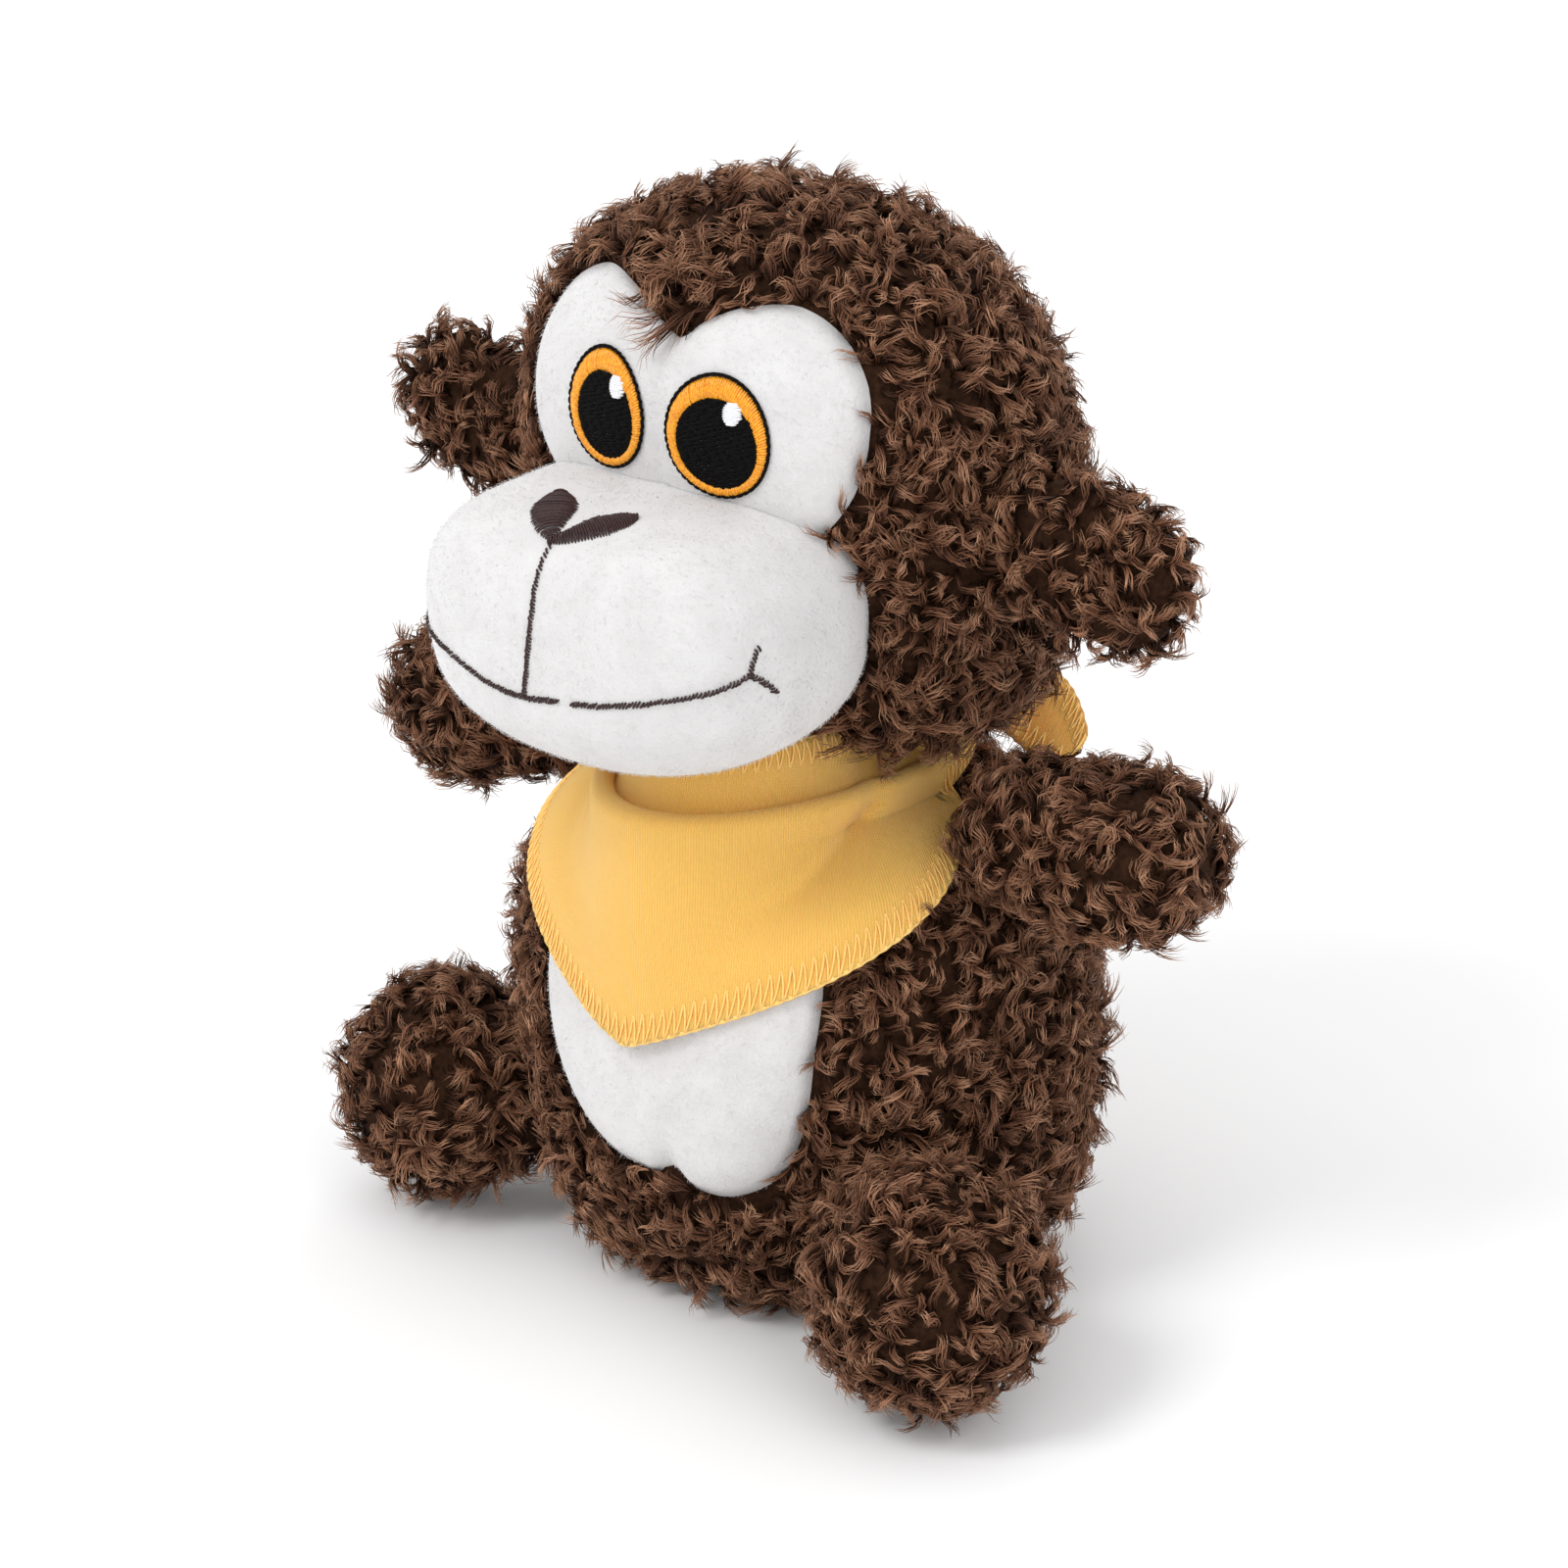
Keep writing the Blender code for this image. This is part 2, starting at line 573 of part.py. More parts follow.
def make_limb(name, sizes, panels, finishes, pivot):
    """Two panels and their filling, on a pivot whose +Z is the limb's direction."""
    hollow = helper(add_object(f"{name}_hollow", limb_form(*sizes, PILE_FABRIC), pivot))
    halves = half_boxes(name, 1, CUTTER_REACH, pivot)
    for panel, half in zip(panels, halves):
        steps = [("DIFFERENCE", hollow), ("INTERSECT", half)]
        piece(f"{name}_{panel}_panel", limb_form(*sizes), finishes["fur"], steps, pivot)
    piece(f"{name}_stuffing", limb_form(*sizes, PILE_FABRIC + GAP), finishes["fibre"], [], pivot)


def turned_to(direction, across):
    """A rotation that takes +Z to direction and +Y close to across."""
    z_axis = direction.normalized()
    x_axis = across.cross(z_axis).normalized()
    y_axis = z_axis.cross(x_axis)
    return Matrix((x_axis, y_axis, z_axis)).transposed().to_4x4()


def leg_pivot_place(side):
    angle = LEG_ANGLES[side]
    direction = Vector((math.cos(angle), math.sin(angle), 0.0))
    place = Vector((0.0, TORSO_CENTRE_Y, LEG_RADIUS + GAP)) + direction * LEG_PIVOT_DISTANCE
    return place, direction


def arm_pivot_place(side):
    sign = 1.0 if side == "left" else -1.0
    return Vector((sign * ARM_PIVOT.x, ARM_PIVOT.y, ARM_PIVOT.z)), ARM_DIRECTIONS[side]


def make_limbs(finishes):
    """Both arms and both legs, with the sockets that they need in the torso."""
    sockets = []
    for side in ("left", "right"):
        place, direction = arm_pivot_place(side)
        pivot = add_pivot(f"{side}_arm_pivot", place, turned_to(direction, Vector((0.0, 1.0, 0.0))))
        sizes = (ARM_ROOT_RADIUS, ARM_TIP_RADIUS, ARM_REACH[side])
        make_limb(f"{side}_arm", sizes, ("back", "front"), finishes, pivot)
        sockets.append(ball(f"{side}_arm_socket", Vector(), ARM_ROOT_RADIUS + SOCKET_CLEAR, pivot))
    for side in ("left", "right"):
        place, direction = leg_pivot_place(side)
        pivot = add_pivot(f"{side}_leg_pivot", place, turned_to(direction, Vector((0.0, 0.0, 1.0))))
        sizes = (LEG_ROOT_RADIUS, LEG_RADIUS, LEG_REACH[side])
        make_limb(f"{side}_leg", sizes, ("top", "sole"), finishes, pivot)
        sockets.append(ball(f"{side}_leg_socket", Vector(), LEG_ROOT_RADIUS + SOCKET_CLEAR, pivot))
    return sockets


def bandana_lower_edge(angle):
    """Height of the lower edge: a point in front, the shoulders beside, a band behind."""
    turn = abs(math.remainder(angle, 2 * math.pi))
    if turn < BANDANA_SIDE_ANGLE:
        share = turn / BANDANA_SIDE_ANGLE
        return BANDANA_POINT_Z + (BANDANA_SIDE_Z - BANDANA_POINT_Z) * share * share * (3.0 - 2.0 * share)
    share = (turn - BANDANA_SIDE_ANGLE) / (math.pi - BANDANA_SIDE_ANGLE)
    return BANDANA_SIDE_Z + (BANDANA_BACK_Z - BANDANA_SIDE_Z) * share * share


def bandana_fold_radius(angle):
    depth = BANDANA_FOLD_FRONT if math.cos(angle) > 0.0 else BANDANA_FOLD_BACK
    return 1.0 / math.hypot(math.sin(angle) / BANDANA_FOLD_SIDE, math.cos(angle) / depth)


def bandana_section(angle):
    """The sheet's closed cross-section at an angle, from the lower edge up, over and back down."""
    low = bandana_lower_edge(angle)
    fold = bandana_fold_radius(angle)
    heights = [low + (BANDANA_FOLD_Z - low) * i / 4 for i in range(5)]
    outer, inner = [], []
    for z in heights:
        over_top = z > TORSO_TOP_Z + GAP
        clear = 0.0 if over_top else torso_radius(angle, min(z, TORSO_TOP_Z)) + BANDANA_CLEAR
        outside = max(clear + BANDANA_CLOTH, fold)
        outer.append((outside, z))
        inner.append((max(clear, outside - BANDANA_CLOTH), z))
    collar = fold - BANDANA_CLOTH - BANDANA_COLLAR
    over = [(fold - BANDANA_CLOTH / 2, BANDANA_TOP_Z), (collar, BANDANA_TOP_Z)]
    under = [(collar, BANDANA_FOLD_Z)]
    return [around(angle, radius, z) for radius, z in outer + over + under + inner[::-1]]


def make_tail(side, finishes):
    """A loose end of the bandana behind the neck, a flat leaf with a slight droop."""
    sign = 1.0 if side == "left" else -1.0
    sections = []
    for i in range(7):
        share = i / 6
        x = sign * (KNOT_RADII.x + GAP + TAIL_LENGTH * share)
        bow = math.sin(math.pi * share)
        swell = math.sin(math.pi * (0.35 + 0.6 * share))
        half_width = TAIL_WIDTH / 2 * (TAIL_NARROW + (1.0 - TAIL_NARROW) * swell)
        y = KNOT_CENTRE.y + TAIL_BOW.x * bow
        z = KNOT_CENTRE.z + TAIL_BOW.y * bow + TAIL_RISE[side] * share
        corners = ((-1, -1), (1, -1), (1, 1), (-1, 1))
        sections.append([Vector((x, y + a * BANDANA_CLOTH / 2, z + b * half_width)) for a, b in corners])
    piece(f"bandana_{side}_tail", stacked(sections), finishes["jersey"], [])


def make_bandana(finishes):
    """The cloth round the neck, its knot behind and the two loose ends."""
    angles = [2 * math.pi * i / BANDANA_SECTIONS for i in range(BANDANA_SECTIONS)]
    sections = [bandana_section(angle) for angle in angles]
    piece("bandana_cloth", stacked(sections, caps=False), finishes["jersey"], [])
    knot = rounded(KNOT_CENTRE, KNOT_RADII, KNOT_POWER, segments=12, rings=7)
    piece("bandana_knot", knot, finishes["jersey"], [])
    for side in ("left", "right"):
        make_tail(side, finishes)


def main():
    clear_scene()
    finishes = make_materials()
    sockets = make_limbs(finishes)
    neck_socket = ball("neck_in_torso", NECK_PIVOT, NECK_RADIUS + SOCKET_CLEAR)
    make_torso(finishes, [*sockets, neck_socket])
    neck = add_pivot("neck_pivot", NECK_PIVOT)
    neck_form = rounded(Vector(), Vector((NECK_RADIUS,) * 3), 2.0, segments=14, rings=8)
    piece("neck_stuffing", neck_form, finishes["fibre"], [], neck)
    head = add_pivot("head_pivot", NECK_PIVOT)
    make_head(finishes, head)
    for side in ("left", "right"):
        make_eye(side, finishes, head)
        make_ear(side, finishes)
    make_nose(finishes, head)
    make_mouth(finishes, head)
    make_bandana(finishes)


main()
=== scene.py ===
"""The looks of the stuffed monkey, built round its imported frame.

Metres, +Z up. The monkey faces -Y, so its own left is +X. Every skin is a stuffed form read off the
frame's solids and blown out between its seams, and the curly pile on it is real strands in small wisps.
"""

import math

import bmesh
import bpy
import numpy as np
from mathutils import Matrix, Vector, noise
from mathutils.bvhtree import BVHTree


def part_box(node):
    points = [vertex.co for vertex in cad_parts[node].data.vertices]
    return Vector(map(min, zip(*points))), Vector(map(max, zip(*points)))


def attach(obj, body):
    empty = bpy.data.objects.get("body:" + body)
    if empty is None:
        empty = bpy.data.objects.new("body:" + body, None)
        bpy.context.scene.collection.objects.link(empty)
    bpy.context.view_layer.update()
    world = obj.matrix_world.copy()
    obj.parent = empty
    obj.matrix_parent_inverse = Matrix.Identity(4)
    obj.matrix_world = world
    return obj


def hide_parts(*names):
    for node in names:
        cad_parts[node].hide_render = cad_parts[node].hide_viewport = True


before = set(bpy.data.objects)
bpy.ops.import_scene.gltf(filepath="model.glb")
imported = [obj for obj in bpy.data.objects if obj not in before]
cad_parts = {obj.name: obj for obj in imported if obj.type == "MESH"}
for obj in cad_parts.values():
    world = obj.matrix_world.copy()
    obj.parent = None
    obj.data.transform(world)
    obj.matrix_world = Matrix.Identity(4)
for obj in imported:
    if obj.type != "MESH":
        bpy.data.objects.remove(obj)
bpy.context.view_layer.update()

MM = 0.001
SIDES = (("left", 1.0), ("right", -1.0))
FLOOR_CLEAR = 0.2 * MM
UP = np.array([0.0, 0.0, 1.0])

# Skins
PILE_INSET = 2.6 * MM  # the backing lies this far inside the pile's outer surface
EAR_INSET = 0.8 * MM
PROBE_SHIFT = 0.7 * MM  # between the three rays that read the reach in one direction
SEAM_WIDTH = 4.0 * MM
SEAM_DIP = 0.9 * MM
PUFF_CAP = 1.0 * MM
PUFF_FRAMES = 14
PUFF_PRESSURE = 4.0
JOWL_OUT = 3.6 * MM
JOWL_Z = 104.0  # in millimetres, as are the two below
JOWL_HALF_HEIGHT = 12.0
JOWL_START_X = 10.0
EAR_SEAM_X = 43.5 * MM
EAR_FLARE = 0.28  # how much taller an ear is at its seam

# Face, seen from the front as (x, z)
MASK_MIDDLE = Vector((0.0, 148.0)) * MM
MASK_HALF = [(0.0, 127.0), (16.0, 130.0), (23.0, 136.0), (28.0, 141.0), (31.2, 147.0), (32.0, 154.0),
             (30.6, 161.3), (25.8, 168.0), (18.3, 171.8), (10.5, 171.0), (5.0, 168.4), (1.5, 165.6)]
MASK_EDGE = np.array(MASK_HALF + [(-x, z) for x, z in MASK_HALF[-2:0:-1]]) * MM
MUZZLE_CENTRE_Y = -40.5 * MM
MUZZLE_POWER = 2.85
EYES = {
    "left": {"centre": (11.3, 153.1), "half": (9.3, 9.9), "spot": (14.0, 157.2)},
    "right": {"centre": (-10.2, 153.4), "half": (8.2, 9.8), "spot": (-7.5, 157.4)},
}

# Mouth: how far round the muzzle from its middle, on a circle of MOUTH_REACH, and the height
MOUTH_REACH = 30.0 * MM
LIP_LINE = [(-1.3, 117.8), (-0.7, 121.5), (-0.2, 126.0), (0.1, 131.5), (-0.5, 136.5), (-1.4, 139.8)]
MOUTH_LINES = [
    [(-34.0, 122.6), (-25.5, 121.2), (-19.0, 120.4), (-12.6, 118.9), (-8.1, 117.8), (-1.4, 117.4),
     (5.6, 118.4)],
    [(8.4, 118.6), (13.0, 119.2), (19.0, 120.5), (25.5, 122.0), (30.0, 123.0), (34.2, 124.4)],
]
MOUTH_TICKS = [(0.0, 0.0), (0.5, 1.8), (1.5, 3.9)], [(0.3, 0.0), (2.4, -1.7), (4.6, -3.9)]
NOSE_LEAVES = {
    "left": {"spine": [(-1.6, -61.8), (1.6, -58.6), (6.4, -50.8)], "half": 3.5, "fullest": 0.62},
    "right": {"spine": [(-1.4, -61.6), (-5.0, -57.4), (-9.8, -49.4)], "half": 3.9, "fullest": 0.6},
}  # (x, y) from above

# Belly, seen from the front as (x, z)
BELLY_EDGE = np.array([
    (6.2, 28.6), (10.0, 27.0), (16.0, 26.8), (22.5, 30.8), (26.6, 39.5), (28.2, 52.0), (27.0, 68.0),
    (16.0, 79.5), (2.0, 82.0), (-13.0, 79.0), (-22.6, 68.0), (-23.6, 54.0), (-19.6, 41.5), (-12.6, 33.0),
    (-5.0, 28.8), (2.4, 27.6)]) * MM
BELLY_MIDDLE = Vector((3.0, 55.0)) * MM
CLEFT_X = 6.0 * MM
CLEFT_TOP_Z = 44.0 * MM
CLEFT_BOTTOM_Z = 27.0 * MM
CLEFT_WIDTH = 2.6 * MM
CLEFT_PULL = 2.4 * MM
CLEFT_SEAM = 1.2 * MM

# White panels
RAY_START_Y = -0.2
FACE_Y = -45.0 * MM
PANEL_RINGS = 30
PANEL_AROUND = 144
PANEL_RELAXING = 14
TUCK_FROM = 0.86  # share of the way out where a panel starts to dip to its seam
EDGE_LIFT = 0.6 * MM  # of the mask's seam over the backing
BELLY_LIFT = 0.4 * MM
MASK_CLOTH = 1.6 * MM
BELLY_CLOTH = 1.4 * MM


def linear(red, green, blue):
    """Linear RGBA from the 0 to 255 numbers of a colour chart."""
    values = []
    for value in (red, green, blue):
        share = value / 255
        values.append(share / 12.92 if share <= 0.04045 else ((share + 0.055) / 1.055) ** 2.4)
    return (*values, 1.0)


# ---------------------------------------------------------------- materials

# The pile's colours at four stops from root to tip, on its darkest wisps and on its lightest
# The dark roots are partly the pile's own brown and partly painted shade deep in the pile; the light tips are
# partly a painted highlight.
PILE_STOPS = (0.0, 0.3, 0.65, 1.0)
PILE_DARK = (linear(25, 12, 6), linear(58, 32, 19), linear(98, 62, 43), linear(136, 93, 67))
PILE_LIGHT = (linear(36, 19, 10), linear(88, 54, 35), linear(158, 110, 82), linear(216, 167, 133))

WALE_PITCH = 0.42 * MM
COURSE_PITCH = 0.36 * MM
COURSE_RELIEF = 0.4  # against the wales' 1


class Nodes:
    """Short names for building a material's node tree."""

    def __init__(self, name, roughness, specular=0.5):
        self.material = bpy.data.materials.new(name)
        self.material.use_nodes = True
        self.tree = self.material.node_tree
        self.shader = self.tree.nodes["Principled BSDF"]
        self.shade({"Roughness": roughness, "Specular IOR Level": specular})

    def shade(self, values):
        for name, value in values.items():
            self.shader.inputs[name].default_value = value

    def add(self, kind, **settings):
        node = self.tree.nodes.new(kind)
        for key, value in settings.items():
            if key in node.inputs:
                node.inputs[key].default_value = value
            else:
                setattr(node, key, value)
        return node

    def link(self, source, target):
        self.tree.links.new(source, target)

    def put(self, values, sockets):
        """Gives each socket its value, or a link where the value is another node's output."""
        for value, socket in zip(values, sockets):
            if isinstance(value, bpy.types.NodeSocket):
                self.link(value, socket)
            else:
                socket.default_value = value

    def uv(self, name):
        """The two parts of a UV map."""
        parts = self.add("ShaderNodeSeparateXYZ")
        self.link(self.add("ShaderNodeUVMap", uv_map=name).outputs["UV"], parts.inputs["Vector"])
        return parts.outputs["X"], parts.outputs["Y"]

    def math(self, operation, *values):
        node = self.add("ShaderNodeMath", operation=operation)
        self.put(values, node.inputs)
        return node.outputs[0]

    def mix(self, factor, first, second):
        node = self.add("ShaderNodeMix", data_type="RGBA")
        self.put((factor, first, second), (node.inputs[0], node.inputs[6], node.inputs[7]))
        return node.outputs[2]

    def ramp(self, factor, stops):
        node = self.add("ShaderNodeValToRGB")
        elements = node.color_ramp.elements
        while len(elements) < len(stops):
            elements.new(0.5)
        for element, (place, colour) in zip(elements, stops):
            element.position = place
            element.color = colour
        self.link(factor, node.inputs["Fac"])
        return node.outputs["Color"]

    def noise(self, scale, detail=3.0):
        node = self.add("ShaderNodeTexNoise", Scale=scale, Detail=detail)
        self.link(self.add("ShaderNodeTexCoord").outputs["Object"], node.inputs["Vector"])
        return node.outputs["Fac"]

    def bump(self, height, strength, distance):
        node = self.add("ShaderNodeBump", Strength=strength, Distance=distance)
        self.link(height, node.inputs["Height"])
        self.link(node.outputs["Normal"], self.shader.inputs["Normal"])

    def colour(self, source):
        self.link(source, self.shader.inputs["Base Color"])


def pile_material():
    """Curly pile: dark at the root, partly as painted shade, lighter at the tip, partly as a painted
    highlight, each wisp a little different.
    """
    nodes = Nodes("curly_pile", roughness=0.5, specular=0.22)
    tone, way_to_tip = nodes.uv("OFBake")
    wisps = [nodes.ramp(way_to_tip, list(zip(PILE_STOPS, colours))) for colours in (PILE_DARK, PILE_LIGHT)]
    nodes.colour(nodes.mix(tone, *wisps))
    return nodes.material


def under_material():
    """Dark core strands low in each wisp: painted shade deep in the pile."""
    nodes = Nodes("painted_shade_pile_core", roughness=0.9, specular=0.1)
    # Painted shade: the cores carry the dark of the pile's shaded depths.
    nodes.colour(nodes.ramp(nodes.noise(700.0), [(0.3, linear(34, 19, 11)), (0.7, linear(62, 39, 26))]))
    return nodes.material


def backing_material():
    """The knitted backing between the roots of the pile, darkened as painted shade in the gaps between the
    wisps.
    """
    nodes = Nodes("pile_backing", roughness=0.95, specular=0.1)
    fine = nodes.noise(900.0)
    # Painted shade: the backing's brown is darkened so that bare gaps between the wisps read as shadow.
    nodes.colour(nodes.ramp(fine, [(0.3, linear(34, 19, 10)), (0.7, linear(56, 35, 22))]))
    nodes.bump(fine, 0.6, 0.0006)
    return nodes.material


def plush_material():
    """Short white pile, brushed into faint patches."""
    nodes = Nodes("short_white_pile", roughness=0.9, specular=0.2)
    patches = nodes.noise(140.0, 4.0)
    fibres = nodes.noise(1900.0, 2.0)
    nodes.colour(nodes.ramp(patches, [(0.3, linear(205, 203, 203)), (0.7, linear(214, 213, 213))]))
    nodes.bump(nodes.mix(0.6, patches, fibres), 0.45, 0.0007)
    nodes.shade({"Subsurface Weight": 0.5, "Subsurface Radius": (1.0, 1.0, 1.0), "Subsurface Scale": 0.0012,
                 "Sheen Weight": 0.35, "Sheen Roughness": 0.5})
    return nodes.material


def fuzz_material():
    """The fibres that stand on the white pile, lighter than it: painted light that offsets the shade they
    cast on it.
    """
    nodes = Nodes("white_fuzz", roughness=0.85, specular=0.2)
    tone, _ = nodes.uv("OFBake")
    # Painted light: lighter than the white pile under them, to lift the shade they cast.
    nodes.colour(nodes.ramp(tone, [(0.0, linear(222, 221, 221)), (1.0, linear(236, 235, 235))]))
    return nodes.material


def thread_material(name, dark, light, roughness, specular=0.6):
    """Rayon embroidery thread with its ply twisted round it."""
    nodes = Nodes(name, roughness=roughness, specular=specular)
    twist = nodes.noise(2600.0, 1.0)
    nodes.colour(nodes.ramp(twist, [(0.25, dark), (0.75, light)]))
    nodes.bump(twist, 0.35, 0.0002)
    return nodes.material


def jersey_material():
    """Single jersey: fine upright wales with painted shade in their grooves, in the cloth's own measure (u
    and v in metres).
    """
    nodes = Nodes("yellow_jersey", roughness=0.82, specular=0.2)
    across, along = nodes.uv("cloth")
    wales = nodes.math("SINE", nodes.math("MULTIPLY", across, 2 * math.pi / WALE_PITCH))
    courses = nodes.math("SINE", nodes.math("MULTIPLY", along, 2 * math.pi / COURSE_PITCH))
    relief = 1.0 + COURSE_RELIEF
    loops = nodes.add("ShaderNodeMapRange", **{"From Min": -relief, "From Max": relief})
    nodes.link(nodes.math("MULTIPLY_ADD", courses, COURSE_RELIEF, wales), loops.inputs["Value"])
    slub = nodes.noise(700.0, 3.0)
    # The knit's loops are its own pattern; their darker, more orange grooves are painted shade in the knit's
    # relief.
    knit = nodes.ramp(loops.outputs["Result"], [(0.0, linear(232, 156, 60)), (0.55, linear(255, 204, 110))])
    nodes.colour(nodes.mix(slub, knit, linear(252, 190, 96)))
    nodes.bump(nodes.mix(0.3, loops.outputs["Result"], slub), 0.9, 0.0003)
    nodes.shade({"Subsurface Weight": 0.4, "Subsurface Radius": (1.0, 0.45, 0.12), "Subsurface Scale": 0.002,
                 "Sheen Weight": 0.2})
    return nodes.material


FINISH = {
    "pile": pile_material(),
    "under": under_material(),
    "backing": backing_material(),
    "plush": plush_material(),
    "fuzz": fuzz_material(),
    "jersey": jersey_material(),
    "hem": thread_material("hem_thread", linear(252, 194, 96), linear(255, 216, 134), 0.65),
    "black": thread_material("black_thread", linear(4, 3, 3), linear(15, 13, 13), 0.75, 0.1),
    "orange": thread_material("orange_thread", linear(214, 122, 0), linear(252, 180, 30), 0.36),
    "white": thread_material("white_thread", linear(214, 216, 222), linear(240, 240, 243), 0.4),
    "brown": thread_material("brown_thread", linear(34, 18, 18), linear(66, 42, 40), 0.5, 0.3),
}


# ---------------------------------------------------------------- meshes


def unit(vectors):
    return vectors / np.maximum(np.linalg.norm(vectors, axis=-1, keepdims=True), 1e-12)


def mesh_object(name, points, faces, finish, uv=None, uv_name="OFBake"):
    """An object from arrays: points (n, 3), faces (m, 3 or 4), and a UV for each point."""
    mesh = bpy.data.meshes.new(name)
    sides = faces.shape[1]
    mesh.vertices.add(len(points))
    mesh.loops.add(faces.size)
    mesh.polygons.add(len(faces))
    mesh.vertices.foreach_set("co", np.ascontiguousarray(points, np.float32).ravel())
    mesh.loops.foreach_set("vertex_index", np.ascontiguousarray(faces, np.int32).ravel())
    mesh.polygons.foreach_set("loop_start", np.arange(0, faces.size, sides, dtype=np.int32))
    if uv is not None:
        layer = mesh.uv_layers.new(name=uv_name)
        layer.data.foreach_set("uv", np.ascontiguousarray(uv[faces.ravel()], np.float32).ravel())
    mesh.update(calc_edges=True)
    mesh.shade_smooth()
    mesh.materials.append(finish)
    obj = bpy.data.objects.new(name, mesh)
    bpy.context.scene.collection.objects.link(obj)
    return obj


def vectors_of(items, key):
    """One vector from each of Blender's items, (n, 3)."""
    values = np.empty(len(items) * 3, np.float32)
    items.foreach_get(key, values)
    return values.reshape(-1, 3).astype(float)


def points_of(obj):
    return vectors_of(obj.data.vertices, "co")


def normals_of(obj):
    return vectors_of(obj.data.vertex_normals, "vector")


def set_points(obj, points):
    obj.data.vertices.foreach_set("co", np.ascontiguousarray(points, np.float32).ravel())
    obj.data.update()


def tree_of(*objs):
    """One search tree over the faces of several objects."""
    points, faces = [], []
    for obj in objs:
        start = len(points)
        points += [tuple(v.co) for v in obj.data.vertices]
        faces += [tuple(start + i for i in polygon.vertices) for polygon in obj.data.polygons]
    return BVHTree.FromPolygons(points, faces)


def thickened(obj, thickness, offset):
    """Gives a sheet its cloth's thickness: to both sides for offset 0, inwards for -1."""
    solid = obj.modifiers.new("cloth", "SOLIDIFY")
    solid.thickness = thickness
    solid.offset = offset
    graph = bpy.context.evaluated_depsgraph_get()
    mesh = bpy.data.meshes.new_from_object(obj.evaluated_get(graph))
    obj.modifiers.clear()
    obj.data = mesh
    return obj


def assign(obj, body, slot, *replaced):
    """Sets a piece on the body it rides on and hides the nodes that it stands for; the slot is not used."""
    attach(obj, body)
    if replaced:
        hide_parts(*replaced)
    return obj


def across_of(centres, normals):
    """The two directions across each line: level with the surface under it, and away from it."""
    along = unit(np.gradient(centres, axis=1))
    side = unit(np.cross(normals, along))
    return side, np.cross(along, side)


def tubes(centres, side, up, half_side, half_up, sides, pointed=False):
    """Points and triangles of many closed tubes: centres (n, k, 3), half sizes for each ring.

    The last place of a pointed tube is its tip, not a ring.
    """
    count, stations, _ = centres.shape
    rings = stations - 1 if pointed else stations
    angles = 2 * np.pi * np.arange(sides) / sides
    across = side[:, :rings, None] * np.cos(angles)[:, None] * half_side[:, :, None, None]
    rise = up[:, :rings, None] * np.sin(angles)[:, None] * half_up[:, :, None, None]
    points = (centres[:, :rings, None] + across + rise).reshape(count, rings * sides, 3)
    one = [(0, i + 1, i) for i in range(1, sides - 1)]
    for j in range(rings - 1):
        for i in range(sides):
            a, b = j * sides + i, j * sides + (i + 1) % sides
            one += [(a, b, b + sides), (a, b + sides, a + sides)]
    last, total = (rings - 1) * sides, rings * sides
    if pointed:
        one += [(last + i, last + (i + 1) % sides, total) for i in range(sides)]
        points = np.concatenate([points, centres[:, -1:]], axis=1)
        total += 1
    else:
        one += [(last, last + i, last + i + 1) for i in range(1, sides - 1)]
    starts = np.arange(count) * total
    return points.reshape(-1, 3), (np.array(one)[None] + starts[:, None, None]).reshape(-1, 3)


def run_along(line):
    """The distance from a line's start to each of its points."""
    return np.concatenate([[0.0], np.cumsum(np.linalg.norm(np.diff(line, axis=0), axis=1))])


def at_runs(wanted, run, line):
    """The places on a line at the wanted distances, given the distance to each of its points."""
    return np.stack([np.interp(wanted, run, line[:, k]) for k in range(line.shape[1])], axis=1)


def resampled(corners, count, closed):
    """Points at even steps on a smooth curve through the corners (Catmull-Rom)."""
    corners = np.array(corners, float)
    if closed:
        before, after = corners[-1:], corners[:2]
    else:
        before, after = 2 * corners[:1] - corners[1:2], 2 * corners[-1:] - corners[-2:-1]
    knots = np.concatenate([before, corners, after])
    dense = []
    for a, b, c, d in zip(knots, knots[1:], knots[2:], knots[3:]):
        for t in np.linspace(0.0, 1.0, 24, endpoint=False):
            square = (2 * a - 5 * b + 4 * c - d) * t**2
            cube = (3 * b - a - 3 * c + d) * t**3
            dense.append(0.5 * (2 * b + (c - a) * t + square + cube))
    dense.append(dense[0] if closed else corners[-1])
    dense = np.array(dense)
    run = run_along(dense)
    return at_runs(np.linspace(0.0, run[-1], count, endpoint=not closed), run, dense)


# ---------------------------------------------------------------- skins


def ball_mesh(subdivisions):
    """Unit directions and triangles of an icosphere, with each point's neighbours."""
    form = bmesh.new()
    bmesh.ops.create_icosphere(form, subdivisions=subdivisions, radius=1.0)
    points = np.array([v.co for v in form.verts])
    faces = np.array([[v.index for v in face.verts] for face in form.faces])
    edges = np.array([[v.index for v in edge.verts] for edge in form.edges])
    form.free()
    return unit(points), faces, edges


def relaxed(values, edges, rounds):
    """Each value drawn towards the mean of its neighbours, some rounds over."""
    count = np.bincount(edges.ravel(), minlength=len(values)).astype(float)
    for _ in range(rounds):
        total = np.zeros_like(values)
        np.add.at(total, edges[:, 0], values[edges[:, 1]])
        np.add.at(total, edges[:, 1], values[edges[:, 0]])
        mean = total / (count if values.ndim == 1 else count[:, None])
        values = 0.5 * (values + mean)
    return values


